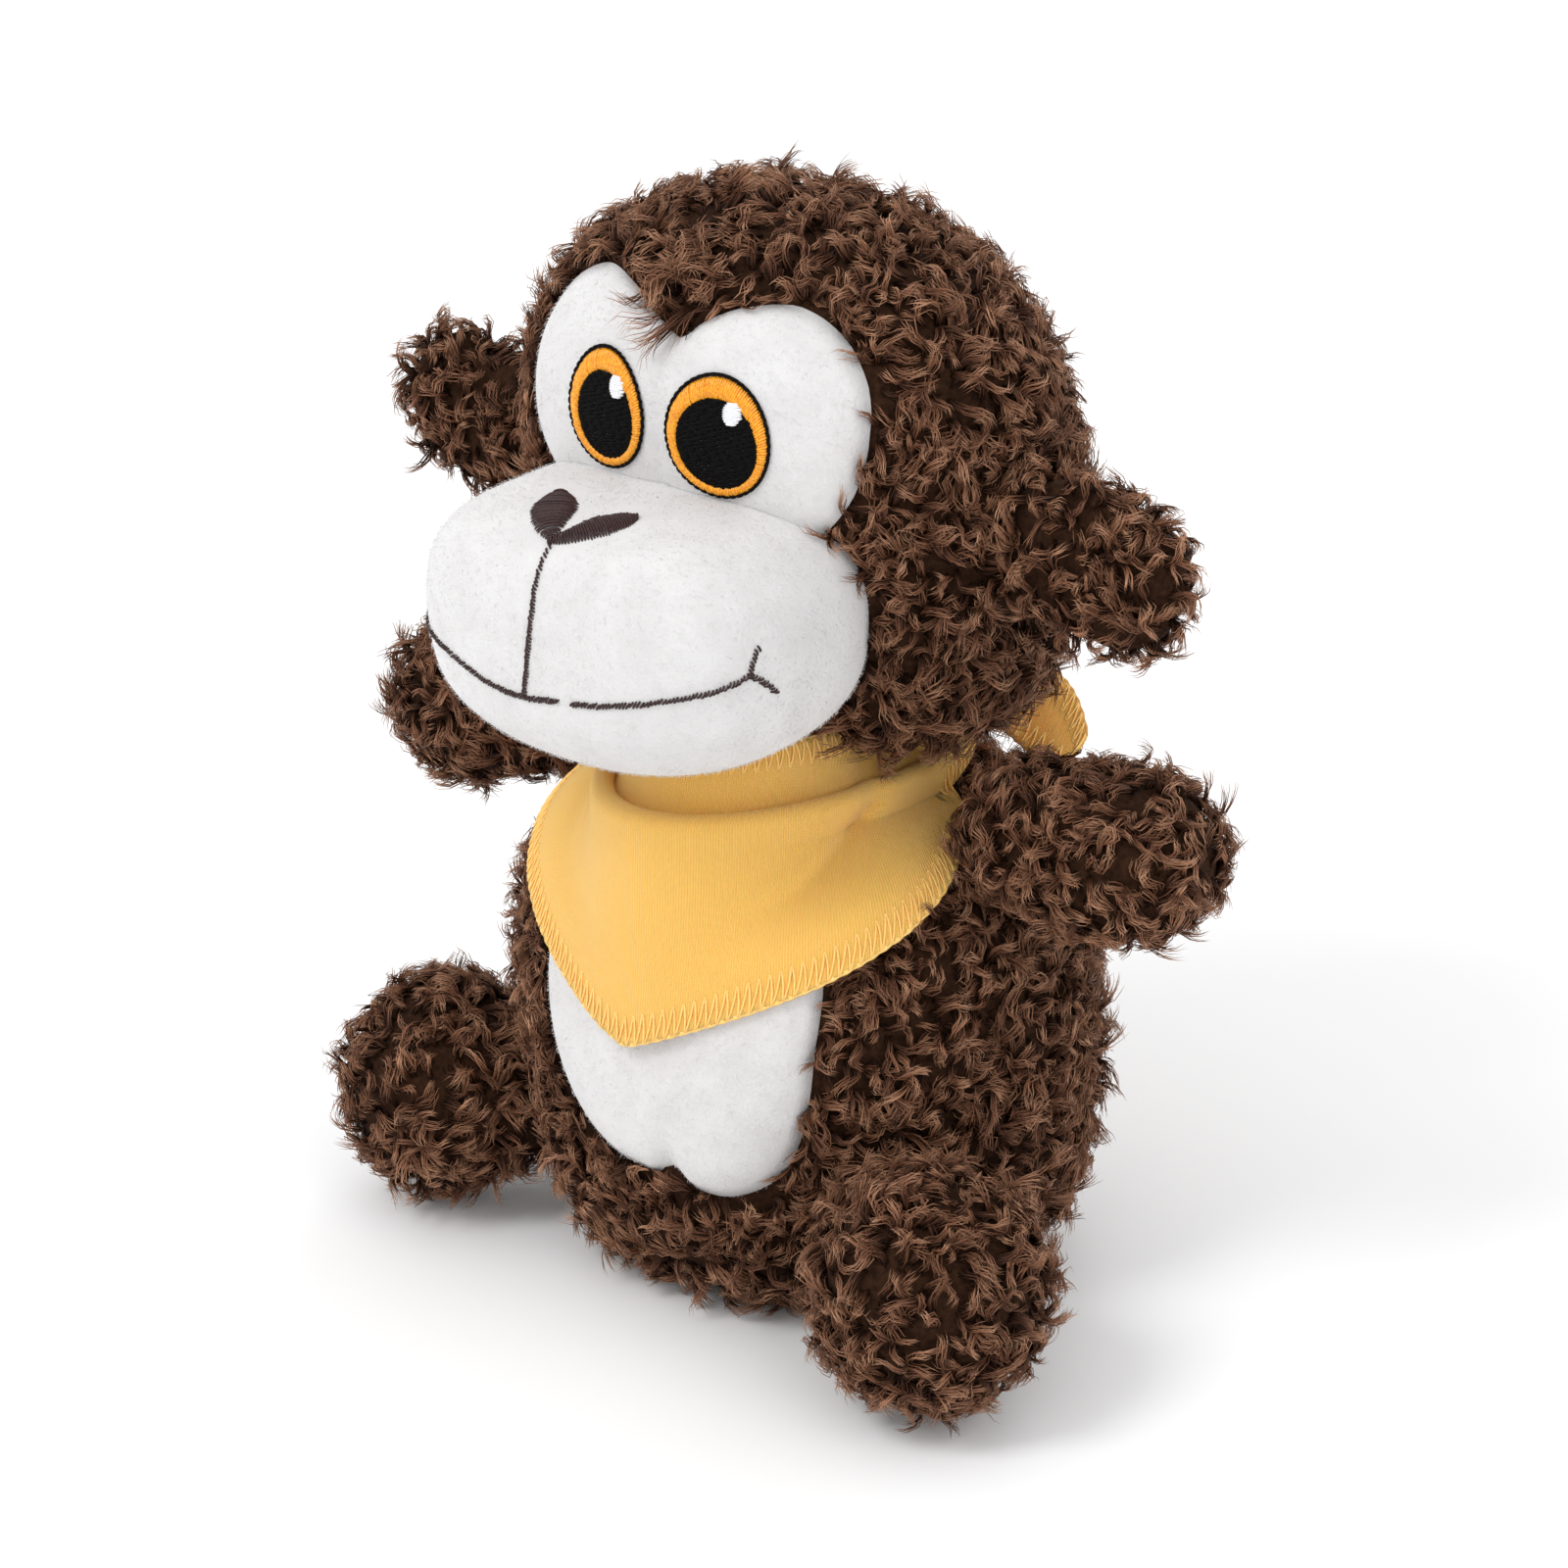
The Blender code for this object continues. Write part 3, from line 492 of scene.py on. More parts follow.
def read_form(nodes, directions, edges, rounds):
    """The outer shape of some CAD solids as a centre and a reach in each direction, its facets relaxed."""
    tree = tree_of(*[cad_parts[name] for name in nodes])
    corners = np.array([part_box(name) for name in nodes])
    low, high = corners[:, 0].min(axis=0), corners[:, 1].max(axis=0)
    centre = (low + high) / 2
    far = np.linalg.norm(high - low)
    reach = np.zeros(len(directions))
    for i, direction in enumerate(directions):
        across = unit(np.cross(direction, (0.31, 0.52, 0.79)))
        for shift in (0.0, PROBE_SHIFT, -PROBE_SHIFT):
            start = centre + direction * far + across * shift
            place = tree.ray_cast(Vector(start), Vector(-direction))[0]
            if place is not None:
                reach[i] = max(reach[i], (np.array(place) - centre) @ direction)
    smooth = relaxed(reach, edges, rounds)
    return centre, smooth + (reach - smooth).mean()


def inflate(obj, pinned, cap):
    """Blows a skin out between its pinned seams, and stops each point at the cap."""
    rest = points_of(obj)
    group = obj.vertex_groups.new(name="seams")
    for index in np.nonzero(pinned)[0]:
        group.add([int(index)], 1.0, "REPLACE")
    cloth = obj.modifiers.new("stuffing", "CLOTH")
    cloth.settings.vertex_group_mass = "seams"
    cloth.settings.use_pressure = True
    cloth.settings.uniform_pressure_force = PUFF_PRESSURE
    cloth.settings.tension_stiffness = 20.0
    cloth.settings.bending_stiffness = 0.5
    cloth.settings.effector_weights.gravity = 0.0
    cloth.collision_settings.use_collision = False
    cloth.point_cache.frame_start = 1
    cloth.point_cache.frame_end = PUFF_FRAMES
    for number in range(1, PUFF_FRAMES + 1):
        bpy.context.scene.frame_set(number)
    graph = bpy.context.evaluated_depsgraph_get()
    blown = vectors_of(obj.evaluated_get(graph).data.vertices, "co")
    obj.modifiers.clear()
    obj.vertex_groups.clear()
    bpy.context.scene.frame_set(1)
    move = blown - rest
    size = np.linalg.norm(move, axis=1, keepdims=True)
    move = np.where(np.isfinite(move), move, 0.0) * np.minimum(1.0, cap / np.maximum(size, 1e-9))
    set_points(obj, rest + move)


def near_seam(points, centre, normal):
    """How close each point is to the seam, from 0 to 1. The seam is where a plane cuts the skin in half."""
    distance = np.abs((points - centre) @ np.array(normal, float))
    close = np.clip(1.0 - distance / SEAM_WIDTH, 0.0, 1.0)
    return close * close * (3.0 - 2.0 * close)


def jowls(points):
    """How far the low sides of the head hang out over the collar."""
    x, z = np.abs(points[:, 0]) / MM, points[:, 2] / MM
    side = np.clip((x - JOWL_START_X) / 20.0, 0.0, 1.0)
    return JOWL_OUT * side * side * (3 - 2 * side) * np.exp(-(((z - JOWL_Z) / JOWL_HALF_HEIGHT) ** 2))


def set_above_floor(obj, points):
    points[:, 2] = np.maximum(points[:, 2], FLOOR_CLEAR)
    set_points(obj, points)


def stuffed_skin(name, nodes, subdivisions, rounds, seam, inset=PILE_INSET, fuller=None):
    """A skin over some CAD solids: their outer shape, pulled in along its seam and blown out beside it."""
    directions, faces, edges = ball_mesh(subdivisions)
    centre, reach = read_form(nodes, directions, edges, rounds)
    outer = centre + directions * reach[:, None]
    obj = mesh_object(name, outer, faces, FINISH["backing"])
    close = near_seam(outer, centre, seam)
    extra = fuller(outer) if fuller else 0.0
    set_above_floor(obj, outer - normals_of(obj) * (inset + SEAM_DIP * close - extra)[:, None])
    inflate(obj, close > 0.8, PUFF_CAP)
    set_above_floor(obj, points_of(obj))
    return obj


def sew_to_head(ear):
    """Draws the inner half of an ear in to the seam that holds it to the head."""
    points = points_of(ear)
    out = np.abs(points[:, 0])
    widest = (out.min() + out.max()) / 2
    share = np.clip((widest - out) / (widest - out.min()), 0.0, 1.0)
    drawn = np.where(out < widest, widest - share * (widest - EAR_SEAM_X), out)
    points[:, 0] = np.sign(points[:, 0]) * drawn
    points[:, 2] += (points[:, 2] - points[:, 2].mean()) * EAR_FLARE * share
    set_points(ear, points)


def make_skins():
    """The pile fabric's backing on each stuffed part, with the nodes that it stands for."""
    skins = {}

    def skin(body, nodes, white, subdivisions, rounds, seam, fill, **shape):
        obj = stuffed_skin(f"{body}_skin", [*nodes, *white], subdivisions, rounds, seam, **shape)
        if body.endswith("ear"):
            sew_to_head(obj)
        assign(obj, body, "fur", *nodes)
        skins[body] = obj

    torso = ["torso_left_panel", "torso_right_panel", "seat_panel", "torso_stuffing", "pellet_bag"]
    skin("torso", torso, ["belly_panel"], 5, 24, (1, 0, 0), 0.8)
    head = ["head_left_panel", "head_right_panel", "head_stuffing"]
    skin("head", head, ["face_mask"], 5, 24, (1, 0, 0), 0.9, fuller=jowls)
    for side, _ in SIDES:
        arm, leg, ear = f"{side}_arm", f"{side}_leg", f"{side}_ear"
        skin(arm, [f"{arm}_front_panel", f"{arm}_back_panel", f"{arm}_stuffing"], [], 4, 6, (0, 1, 0), 0.8)
        skin(leg, [f"{leg}_top_panel", f"{leg}_sole_panel", f"{leg}_stuffing"], [], 4, 6, (0, 0, 1), 0.8)
        skin(ear, [f"{ear}_front_panel", f"{ear}_back_panel"], [], 4, 4, (0, 1, 0), 0.3, inset=EAR_INSET)
    return skins


# ---------------------------------------------------------------- white plush


def laid_on(tree, places, lift):
    """Points seen from the front, (n, 2) as x and z, laid on a skin and lifted along its normal."""
    found = np.empty((len(places), 3))
    normals = np.empty((len(places), 3))
    for i, (x, z) in enumerate(places):
        place, normal, _, _ = tree.ray_cast(Vector((x, RAY_START_Y, z)), Vector((0.0, 1.0, 0.0)))
        if place is None:
            place, normal, _, _ = tree.find_nearest(Vector((x, FACE_Y, z)))
        found[i], normals[i] = place, normal
    return found + normals * np.broadcast_to(lift, len(places))[:, None], normals


def disc_faces(rings, around):
    """Triangles of a disc: one middle point, then rings of points."""
    faces = [(0, 1 + i, 1 + (i + 1) % around) for i in range(around)]
    for ring in range(rings - 1):
        start = 1 + ring * around
        for i in range(around):
            j = (i + 1) % around
            faces.append((start + i, start + around + i, start + around + j))
            faces.append((start + i, start + around + j, start + j))
    return np.array(faces)


def panel_on(name, skin, edge, middle, lift, edge_lift, shape=None):
    """A white panel let into the fur: highest inside, tucked down to the seam at its edge."""
    outline = resampled(edge, PANEL_AROUND, closed=True)
    shares = np.linspace(0.0, 1.0, PANEL_RINGS + 1)[1:]
    centre = np.array(middle)
    places = np.concatenate([[centre], *[centre + (outline - centre) * share for share in shares]])
    share_of = np.concatenate([[0.0], np.repeat(shares, PANEL_AROUND)])
    tuck = np.clip((share_of - TUCK_FROM) / (1.0 - TUCK_FROM), 0.0, 1.0) ** 2
    points, _ = laid_on(tree_of(skin), places, lift - (lift - edge_lift) * tuck)
    obj = mesh_object(name, points, disc_faces(PANEL_RINGS, PANEL_AROUND), FINISH["plush"])
    edges = np.array([tuple(edge.vertices) for edge in obj.data.edges])
    points = np.where((share_of < 0.999)[:, None], relaxed(points, edges, PANEL_RELAXING), points)
    set_points(obj, shape(points) if shape else points)
    return obj, share_of


def cleft(points):
    """The stitched cleft between the belly's two lobes draws the panel in."""
    along = np.clip((CLEFT_TOP_Z - points[:, 2]) / (CLEFT_TOP_Z - CLEFT_BOTTOM_Z), 0.0, 1.0)
    across = np.exp(-(((points[:, 0] - CLEFT_X) / CLEFT_WIDTH) ** 2))
    pulled = points.copy()
    pulled[:, 1] += CLEFT_PULL * along * across
    return pulled


def make_white_panels(skins):
    """The mask and the belly."""
    mask, share = panel_on("white_face_mask", skins["head"], MASK_EDGE, MASK_MIDDLE, PILE_INSET, EDGE_LIFT)
    inflate(mask, share > 0.93, 0.7 * MM)
    belly, share = panel_on("white_belly", skins["torso"], BELLY_EDGE, BELLY_MIDDLE,
                            PILE_INSET + BELLY_LIFT, BELLY_LIFT, shape=cleft)
    points = points_of(belly)
    in_cleft = (np.abs(points[:, 0] - CLEFT_X) < CLEFT_SEAM) & (points[:, 2] < CLEFT_TOP_Z)
    inflate(belly, (share > 0.95) | in_cleft, 1.2 * MM)
    for panel, thickness, body, node in (
            (mask, MASK_CLOTH, "head", "face_mask"), (belly, BELLY_CLOTH, "torso", "belly_panel")):
        thickened(panel, thickness, -1.0)
        assign(panel, body, "white_plush", node)
    return mask, belly


def make_muzzle():
    """One big rounded muzzle, a little squarer than an egg and squarer still at its top."""
    low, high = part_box("muzzle_panel")
    centre = np.array([0.0, MUZZLE_CENTRE_Y, (low.z + high.z) / 2])
    radii = np.array([(high.x - low.x) / 2, centre[1] - low.y, (high.z - low.z) / 2])
    directions, faces, _ = ball_mesh(6)
    power = MUZZLE_POWER + 0.8 * directions[:, 2:]
    length = (np.abs(directions) ** power).sum(axis=1) ** (1 / power[:, 0])
    points = centre + directions / length[:, None] * (radii - 0.5 * MM)
    obj = mesh_object("white_muzzle", points, faces, FINISH["plush"])
    inflate(obj, points[:, 1] > centre[1] + 8 * MM, 0.8 * MM)
    assign(obj, "head", "white_plush", "muzzle_panel", "muzzle_stuffing")
    return obj


# ---------------------------------------------------------------- embroidery

# A thread's height over the cloth and its width, from end to end, as shares of the most
STITCH_ARCH = np.array([-0.6, 0.55, 0.95, 1.0, 0.95, 0.55, -0.6])
STITCH_TAPER = np.array([0.5, 0.9, 1.0, 1.0, 1.0, 0.9, 0.5])

OUTLINE_STITCHES = 46
IRIS_STITCHES = 124
IRIS_BAND = np.array([2.3, 3.0]) * MM
PUPIL_SHIFT = np.array([0.1, -1.15]) * MM
SPOT_HALF = np.array([1.45, 1.75]) * MM
NOSE_STITCHES = 34
SATIN_WIDTH = 0.85 * MM
SATIN_PITCH = 0.5 * MM


def front_projector(obj):
    """Takes (x, z) seen from the front to points and normals on an object."""
    tree = tree_of(obj)
    return lambda places: laid_on(tree, places, 0.0)


def from_round_about(run, z):
    """A ray in to the muzzle from a place on an upright circle round it."""
    out = Vector((math.sin(run / MOUTH_REACH), -math.cos(run / MOUTH_REACH), 0.0))
    return Vector((0.0, MUZZLE_CENTRE_Y, z)) + out * 0.1, -out


def from_above(x, y):
    return Vector((x, y, 0.3)), Vector((0.0, 0.0, -1.0))


def projector(obj, ray):
    """Takes flat places to points and normals on an object, along the ray of each."""
    tree = tree_of(obj)

    def project(places):
        hits = [tree.ray_cast(*ray(*place)) for place in places]
        return np.array([hit[0] for hit in hits]), np.array([hit[1] for hit in hits])

    return project


def stitches(name, starts, ends, project, width, height, finish, raise_by=0.0):
    """Threads laid over the cloth from start to end, each dipping into it at both ends."""
    stations = len(STITCH_ARCH)
    shares = np.linspace(0.0, 1.0, stations)
    places = starts[:, None] + (ends - starts)[:, None] * shares[None, :, None]
    points, normals = project(places.reshape(-1, 2))
    points = points.reshape(len(starts), stations, 3)
    normals = unit(normals).reshape(len(starts), stations, 3)
    centres = points + normals * (STITCH_ARCH * height + np.reshape(raise_by, (-1, 1)))[:, :, None]
    half = np.broadcast_to(STITCH_TAPER * width / 2, centres.shape[:2])
    return mesh_object(name, *tubes(centres, *across_of(centres, normals), half, half * 0.75, 6), finish)


def oval(centre, half, angles):
    """A place on an eye's outline for each angle, slightly fuller below."""
    x = half[0] * np.cos(angles) * (1.0 - 0.06 * np.sin(angles))
    return np.stack([centre[0] + x, centre[1] + half[1] * np.sin(angles)], axis=1)


def fill_rows(centre, half, pitch, length, seed):
    """Rows of short stitches that fill an oval, each row's breaks out of step with the last."""
    rng = np.random.default_rng(seed)
    starts, ends = [], []
    for row in range(int(2 * half[1] / pitch)):
        z = -half[1] + (row + 0.5) * pitch
        reach = half[0] * math.sqrt(max(0.0, 1.0 - (z / half[1]) ** 2))
        x = -reach
        stitch = length * rng.uniform(0.35, 1.0)
        while x < reach - 0.15 * MM:
            stop = min(reach, x + stitch)
            starts.append((centre[0] + x - 0.2 * MM, centre[1] + z))
            ends.append((centre[0] + stop + 0.5 * MM, centre[1] + z + 0.1 * MM))
            x, stitch = stop, length
    return np.array(starts), np.array(ends)


def make_eye(side, project):
    """Black outline, orange satin ring, black filled pupil and a white spot, all in thread."""
    centre, half, spot = (np.array(EYES[side][key]) * MM for key in ("centre", "half", "spot"))
    pupil_centre = centre + PUPIL_SHIFT
    pupil_half = half - IRIS_BAND
    turns = np.linspace(0, 2 * np.pi, OUTLINE_STITCHES, endpoint=False)
    step = turns[1]
    edge = half - 0.35 * MM
    outline = oval(centre, edge, turns - 0.1 * step), oval(centre, edge, turns + 1.15 * step)
    turns = np.linspace(0, 2 * np.pi, IRIS_STITCHES, endpoint=False)
    ring = (oval(centre, half - 0.45 * MM, turns),
            oval(pupil_centre, pupil_half - 0.15 * MM, turns + 0.06))
    uneven = np.random.default_rng(9).uniform(0.0, 0.2, IRIS_STITCHES) * MM
    pupil = fill_rows(pupil_centre, pupil_half + 0.2 * MM, 0.32 * MM, 2.0 * MM, 5)
    highlight = fill_rows(spot, SPOT_HALF, 0.34 * MM, 4.0 * MM, 6)
    for part, colour, rows, width, height, raise_by in (
        ("outline", "black", outline, 0.62 * MM, 0.42 * MM, 0.0),
        ("iris", "orange", ring, 0.47 * MM, 0.5 * MM, uneven),
        ("pupil", "black", pupil, 0.38 * MM, 0.36 * MM, 0.0),
        ("highlight", "white", highlight, 0.42 * MM, 0.4 * MM, 0.4 * MM),
    ):
        name = f"{side}_eye_{part}"
        obj = stitches(f"{name}_thread", *rows, project, width, height, FINISH[colour], raise_by)
        assign(obj, "head", f"{colour}_thread", name)


def beside(line):
    """The direction along a flat line at each of its points, and the one across it."""
    along = unit(np.gradient(line, axis=0))
    return along, np.stack([-along[:, 1], along[:, 0]], axis=1)


def line_of_stitches(name, lines, project):
    """Close slanted stitches over each line, like a machine's narrow satin."""
    rng = np.random.default_rng(7)
    starts, ends = [], []
    for line in lines:
        corners = np.array(line) * MM
        count = max(3, int(run_along(corners)[-1] / SATIN_PITCH))
        path = resampled(corners, count, closed=False)
        along, across = beside(path)
        slant = along * 0.5 * SATIN_WIDTH
        starts.append(path - across * SATIN_WIDTH * rng.uniform(0.35, 0.75, (count, 1)) - slant)
        ends.append(path + across * SATIN_WIDTH * rng.uniform(0.35, 0.75, (count, 1)) + slant)
    starts, ends = np.concatenate(starts), np.concatenate(ends)
    return stitches(name, starts, ends, project, 0.38 * MM, 0.36 * MM, FINISH["brown"])


def make_nose(muzzle):
    """Two leaves of satin stitch that meet in a V on top of the muzzle."""
    starts, ends = [], []
    for leaf in NOSE_LEAVES.values():
        spine = resampled(np.array(leaf["spine"]) * MM, NOSE_STITCHES, closed=False)
        along, across = beside(spine)
        shares = np.linspace(0.02, 0.98, NOSE_STITCHES)
        swell = np.sin(np.pi * shares ** (math.log(0.5) / math.log(leaf["fullest"]))) ** 0.6
        half = leaf["half"] * MM * np.maximum(swell, 0.16)[:, None]
        starts.append(spine - across * half - along * 0.2 * MM)
        ends.append(spine + across * half + along * 0.2 * MM)
    starts, ends = np.concatenate(starts), np.concatenate(ends)
    uneven = np.random.default_rng(8).uniform(0.0, 0.28, len(starts)) * MM
    obj = stitches("nose_thread", starts, ends, projector(muzzle, from_above), 0.42 * MM, 0.5 * MM,
                   FINISH["brown"], uneven)
    assign(obj, "head", "brown_thread", "nose_stitching")


def make_embroidery(mask, muzzle):
    """The eyes, the nose, the mouth with a tick at each end, and the line from nose to mouth."""
    project = front_projector(mask)
    for side, _ in SIDES:
        make_eye(side, project)
    make_nose(muzzle)
    ticks = []
    for (x, z), way in ((MOUTH_LINES[0][0], -1.0), (MOUTH_LINES[1][-1], 1.0)):
        ticks += [[(x + way * out, z + rise) for out, rise in tick] for tick in MOUTH_TICKS]
    project = projector(muzzle, from_round_about)
    for name, lines in (("mouth", MOUTH_LINES + ticks), ("lip_line", [LIP_LINE])):
        obj = line_of_stitches(f"{name}_thread", lines, project)
        assign(obj, "head", "brown_thread", f"{name}_stitching")


# ---------------------------------------------------------------- bandana

TORSO_AXIS_Y = -1.0 * MM
OUTSIDE = 0.12  # a ray's start, from the torso's axis
FOLD_Z = 89.0 * MM
FOLD_FRONT = 45.0 * MM
FOLD_SIDE = 25.0 * MM
FOLD_BACK = 31.0 * MM
POINT_Z = 51.5 * MM
CLOTH_OVER_SKIN = 3.6 * MM
CLOTH_THICK = 0.8 * MM
COLUMNS = 220
OUTER_ROWS = 40

# How far the cut edge rises above the point, in millimetres, by degrees round from the front
EDGE_TURNS = (0, 20, 40, 55, 75, 95, 125, 180)
EDGE_RISES = (0, 7.2, 14.4, 20.2, 27.5, 33.0, 35.5, 33.5)

# Each fold: its middle in degrees round and millimetres up, its slope, half width and height over the cloth
FOLDS = ((46.0, 82.0, 0.42, 2.2, -2.4), (50.0, 76.5, 0.34, 3.4, 1.5), (-48.0, 82.0, -0.42, 2.8, -1.2),
         (24.0, 74.0, 0.30, 4.5, -0.4), (-22.0, 72.0, -0.35, 4.5, -0.4))
FOLD_REACH = 16.0  # degrees

# The roll's radius and the collar's way in, its rise and its dip: at the back, and how much more at the front
ROLL = (1.3 * MM, 0.6 * MM)
COLLAR_IN = (2.0 * MM, 3.4 * MM)
COLLAR_RISE = (5.4 * MM, 5.2 * MM)
COLLAR_DIP = (0.0, 1.6 * MM)

HEM_WIDTH = 4.6 * MM
COLLAR_HEM_WIDTH = 3.6 * MM
END_HEM_WIDTH = 3.8 * MM
HEM_PITCH = 1.9 * MM
HEM_THREAD = 0.34 * MM
HEM_CORD = 0.42 * MM
LEG_SHARES = np.array([0.0, 0.18, 0.5, 0.82, 1.0])
LEG_LIFT = np.array([0.8, 1.0, 1.0, 1.0, 0.8])
TURN_STEPS = np.array([-0.07, -0.05, 0.0, 0.05, 0.07])
TURN_REACH = np.array([0.0, 0.7, 1.0, 0.7, 0.0]) * 0.25 * MM

END_HALF_WIDTH = 7.4 * MM
KNOT_POWER = 2.4


def lower_edge(angle):
    """Height of the cut edge: straight sides that rise from the point to the shoulders."""
    return POINT_Z + np.interp(np.degrees(np.abs(angle)), EDGE_TURNS, EDGE_RISES) * MM


def around(angle, radius, z):
    return np.stack([radius * np.sin(angle), TORSO_AXIS_Y - radius * np.cos(angle), z], axis=-1)


def torso_reach(tree, angles, heights):
    """Distance from the torso's axis to its skin, for arrays of angle and height."""
    reach = np.zeros(len(angles))
    for i, (angle, z) in enumerate(zip(angles, heights)):
        out = Vector((math.sin(angle), -math.cos(angle), 0.0))
        start = Vector((0.0, TORSO_AXIS_Y, z)) + out * OUTSIDE
        place = tree.ray_cast(start, -out)[0]
        if place is not None:
            reach[i] = OUTSIDE - (place - start).length
    return reach


def smooth_max(first, second, softness):
    return 0.5 * (first + second + np.sqrt((first - second) ** 2 + softness**2))


def folds(angle, z):
    """How far the cloth stands out from its plain lie: a long fold from each shoulder, and slack between."""
    turn = np.degrees(angle)
    height = z / MM
    out = np.zeros_like(angle)
    for line_turn, line_z, slope, width, depth in FOLDS:
        away = height - (line_z + slope * (turn - line_turn))
        fade = np.exp(-(((turn - line_turn) / FOLD_REACH) ** 2))
        out += depth * MM * fade * np.exp(-((away / width) ** 2))
    return out


def bandana_points(tree):
    """The cloth as a grid: columns round the neck, rows from the cut edge up and over into the collar."""
    angles = np.linspace(-math.pi, math.pi, COLUMNS)
    along = np.where(np.cos(angles) > 0, FOLD_FRONT, FOLD_BACK)
    fold = 1 / np.hypot(np.sin(angles) / FOLD_SIDE, np.cos(angles) / along)
    low = lower_edge(angles)
    rows = []
    for i in range(OUTER_ROWS):
        z = low + (FOLD_Z - low) * (i / (OUTER_ROWS - 1))
        reach = torso_reach(tree, angles, z)
        radius = smooth_max(np.where(reach > 0, reach + CLOTH_OVER_SKIN, 0.0), fold, 4 * MM)
        rows.append(around(angles, radius + folds(angles, z), z))
    top = rows[-1]
    axis = np.array([0, TORSO_AXIS_Y, 0])
    inward = unit(around(angles, np.full(COLUMNS, -1.0), np.zeros(COLUMNS)) - axis)
    front = 0.5 + 0.5 * np.cos(angles)

    def moved(line, inwards, up):
        return line + inward * inwards[:, None] + UP * up[:, None]

    amounts = ROLL, COLLAR_IN, COLLAR_RISE, COLLAR_DIP
    roll, collar_in, rise, dip = (back + more * front for back, more in amounts)
    for turn in np.linspace(20, 180, 9):
        bend = math.radians(turn)
        rows.append(moved(top, roll * (1 - math.cos(bend)), roll * math.sin(bend)))
    crease = rows[-1]
    for share in np.linspace(0.15, 1.0, 10):
        sag = dip * math.sin(math.pi * min(1.0, share * 1.6))
        rows.append(moved(crease, collar_in * share, rise * share**1.2 - sag))
    return np.array(rows)


def grid_faces(rows, columns):
    starts = (np.arange(rows - 1)[:, None] * columns + np.arange(columns - 1)).reshape(-1, 1)
    return starts + np.array([0, 1, columns + 1, columns])


def rows_run(grid):
    """How far each point of a grid is from the first row, measured along its column."""
    steps = np.linalg.norm(np.diff(grid, axis=0), axis=2)
    return np.concatenate([np.zeros((1, grid.shape[1])), np.cumsum(steps, axis=0)])


def cloth_object(name, grid):
    """A sheet from a grid of points, with the cloth's own measure as its UV."""
    rows, columns, _ = grid.shape
    across = np.linalg.norm(np.diff(grid, axis=1), axis=2)
    widest = np.concatenate([[0.0], np.cumsum(across.mean(axis=0))])
    run = rows_run(grid)
    run -= run[rows * 2 // 3]
    uv = np.stack([np.broadcast_to(widest, (rows, columns)), run], axis=2).reshape(-1, 2)
    obj = mesh_object(name, grid.reshape(-1, 3), grid_faces(rows, columns), FINISH["jersey"], uv, "cloth")
    return thickened(obj, CLOTH_THICK, 0.0)


def hem_path(edge, inner):
    """Where a serger's thread goes over the edge, and where it turns on its needle line."""
    run = run_along(edge)
    count = int(run[-1] / HEM_PITCH)
    wanted = (np.arange(count) + 0.5) * run[-1] / count
    return at_runs(wanted, run, edge), at_runs(wanted + 0.25 * HEM_PITCH, run, inner)


def spread(line, count):
    """Count rows at even shares of the way down the rows of a line."""
    return at_runs(np.linspace(0, 1, count), np.linspace(0, 1, len(line)), line)


def serged_hem(name, edge, inner, middle, normal):
    """Loops of thread over the cut edge: two legs and a turn for each loop, and a cord along the edge."""
    outer, needle = hem_path(edge, inner)
    _, half_way = hem_path(edge, middle)
    bow = half_way - (outer + needle) / 2
    face = unit(spread(normal, len(outer)))
    lift = face * (CLOTH_THICK / 2 + HEM_THREAD * 0.45)
    step = unit(np.gradient(outer, axis=0)) * HEM_PITCH
    shares = LEG_SHARES[None, :, None]
    paths = []
    legs = (outer - step * 0.45, needle - step * 0.07), (needle + step * 0.07, outer + step * 0.45)
    for start, end in legs:
        leg = start[:, None] * (1 - shares) + end[:, None] * shares
        paths.append(leg + bow[:, None] * 4 * shares * (1 - shares) + lift[:, None] * LEG_LIFT[None, :, None])
    inward = unit(needle - outer)
    turns = needle[:, None] + step[:, None] * TURN_STEPS[None, :, None] + lift[:, None] * 0.85
    paths.append(turns + inward[:, None] * TURN_REACH[None, :, None])
    loops = np.concatenate(paths)
    half = np.full(loops.shape[:2], HEM_THREAD / 2)
    points, faces = tubes(loops, *across_of(loops, np.concatenate([face] * 3)[:, None]), half, half, 5)
    cord = spread(edge, len(outer) * 4)[None]
    thick = HEM_CORD * (1.0 + 0.22 * np.sin(np.arange(cord.shape[1]) * np.pi / 2))[None]
    normals = spread(normal, cord.shape[1])[None]
    cord_points, cord_faces = tubes(cord, *across_of(cord, normals), thick, thick, 6)
    return mesh_object(name, np.concatenate([points, cord_points]),
                       np.concatenate([faces, cord_faces + len(points)]), FINISH["hem"])


def grid_normals(grid):
    return unit(np.cross(np.gradient(grid, axis=1), np.gradient(grid, axis=0)))


def row_at(grid, distance, from_end=False):
    """The line on the cloth that runs a distance in from its first row, or from its last."""
    rows = grid[::-1] if from_end else grid
    run = rows_run(rows)
    return np.array([at_runs([distance], run[:, j], rows[:, j])[0] for j in range(rows.shape[1])])


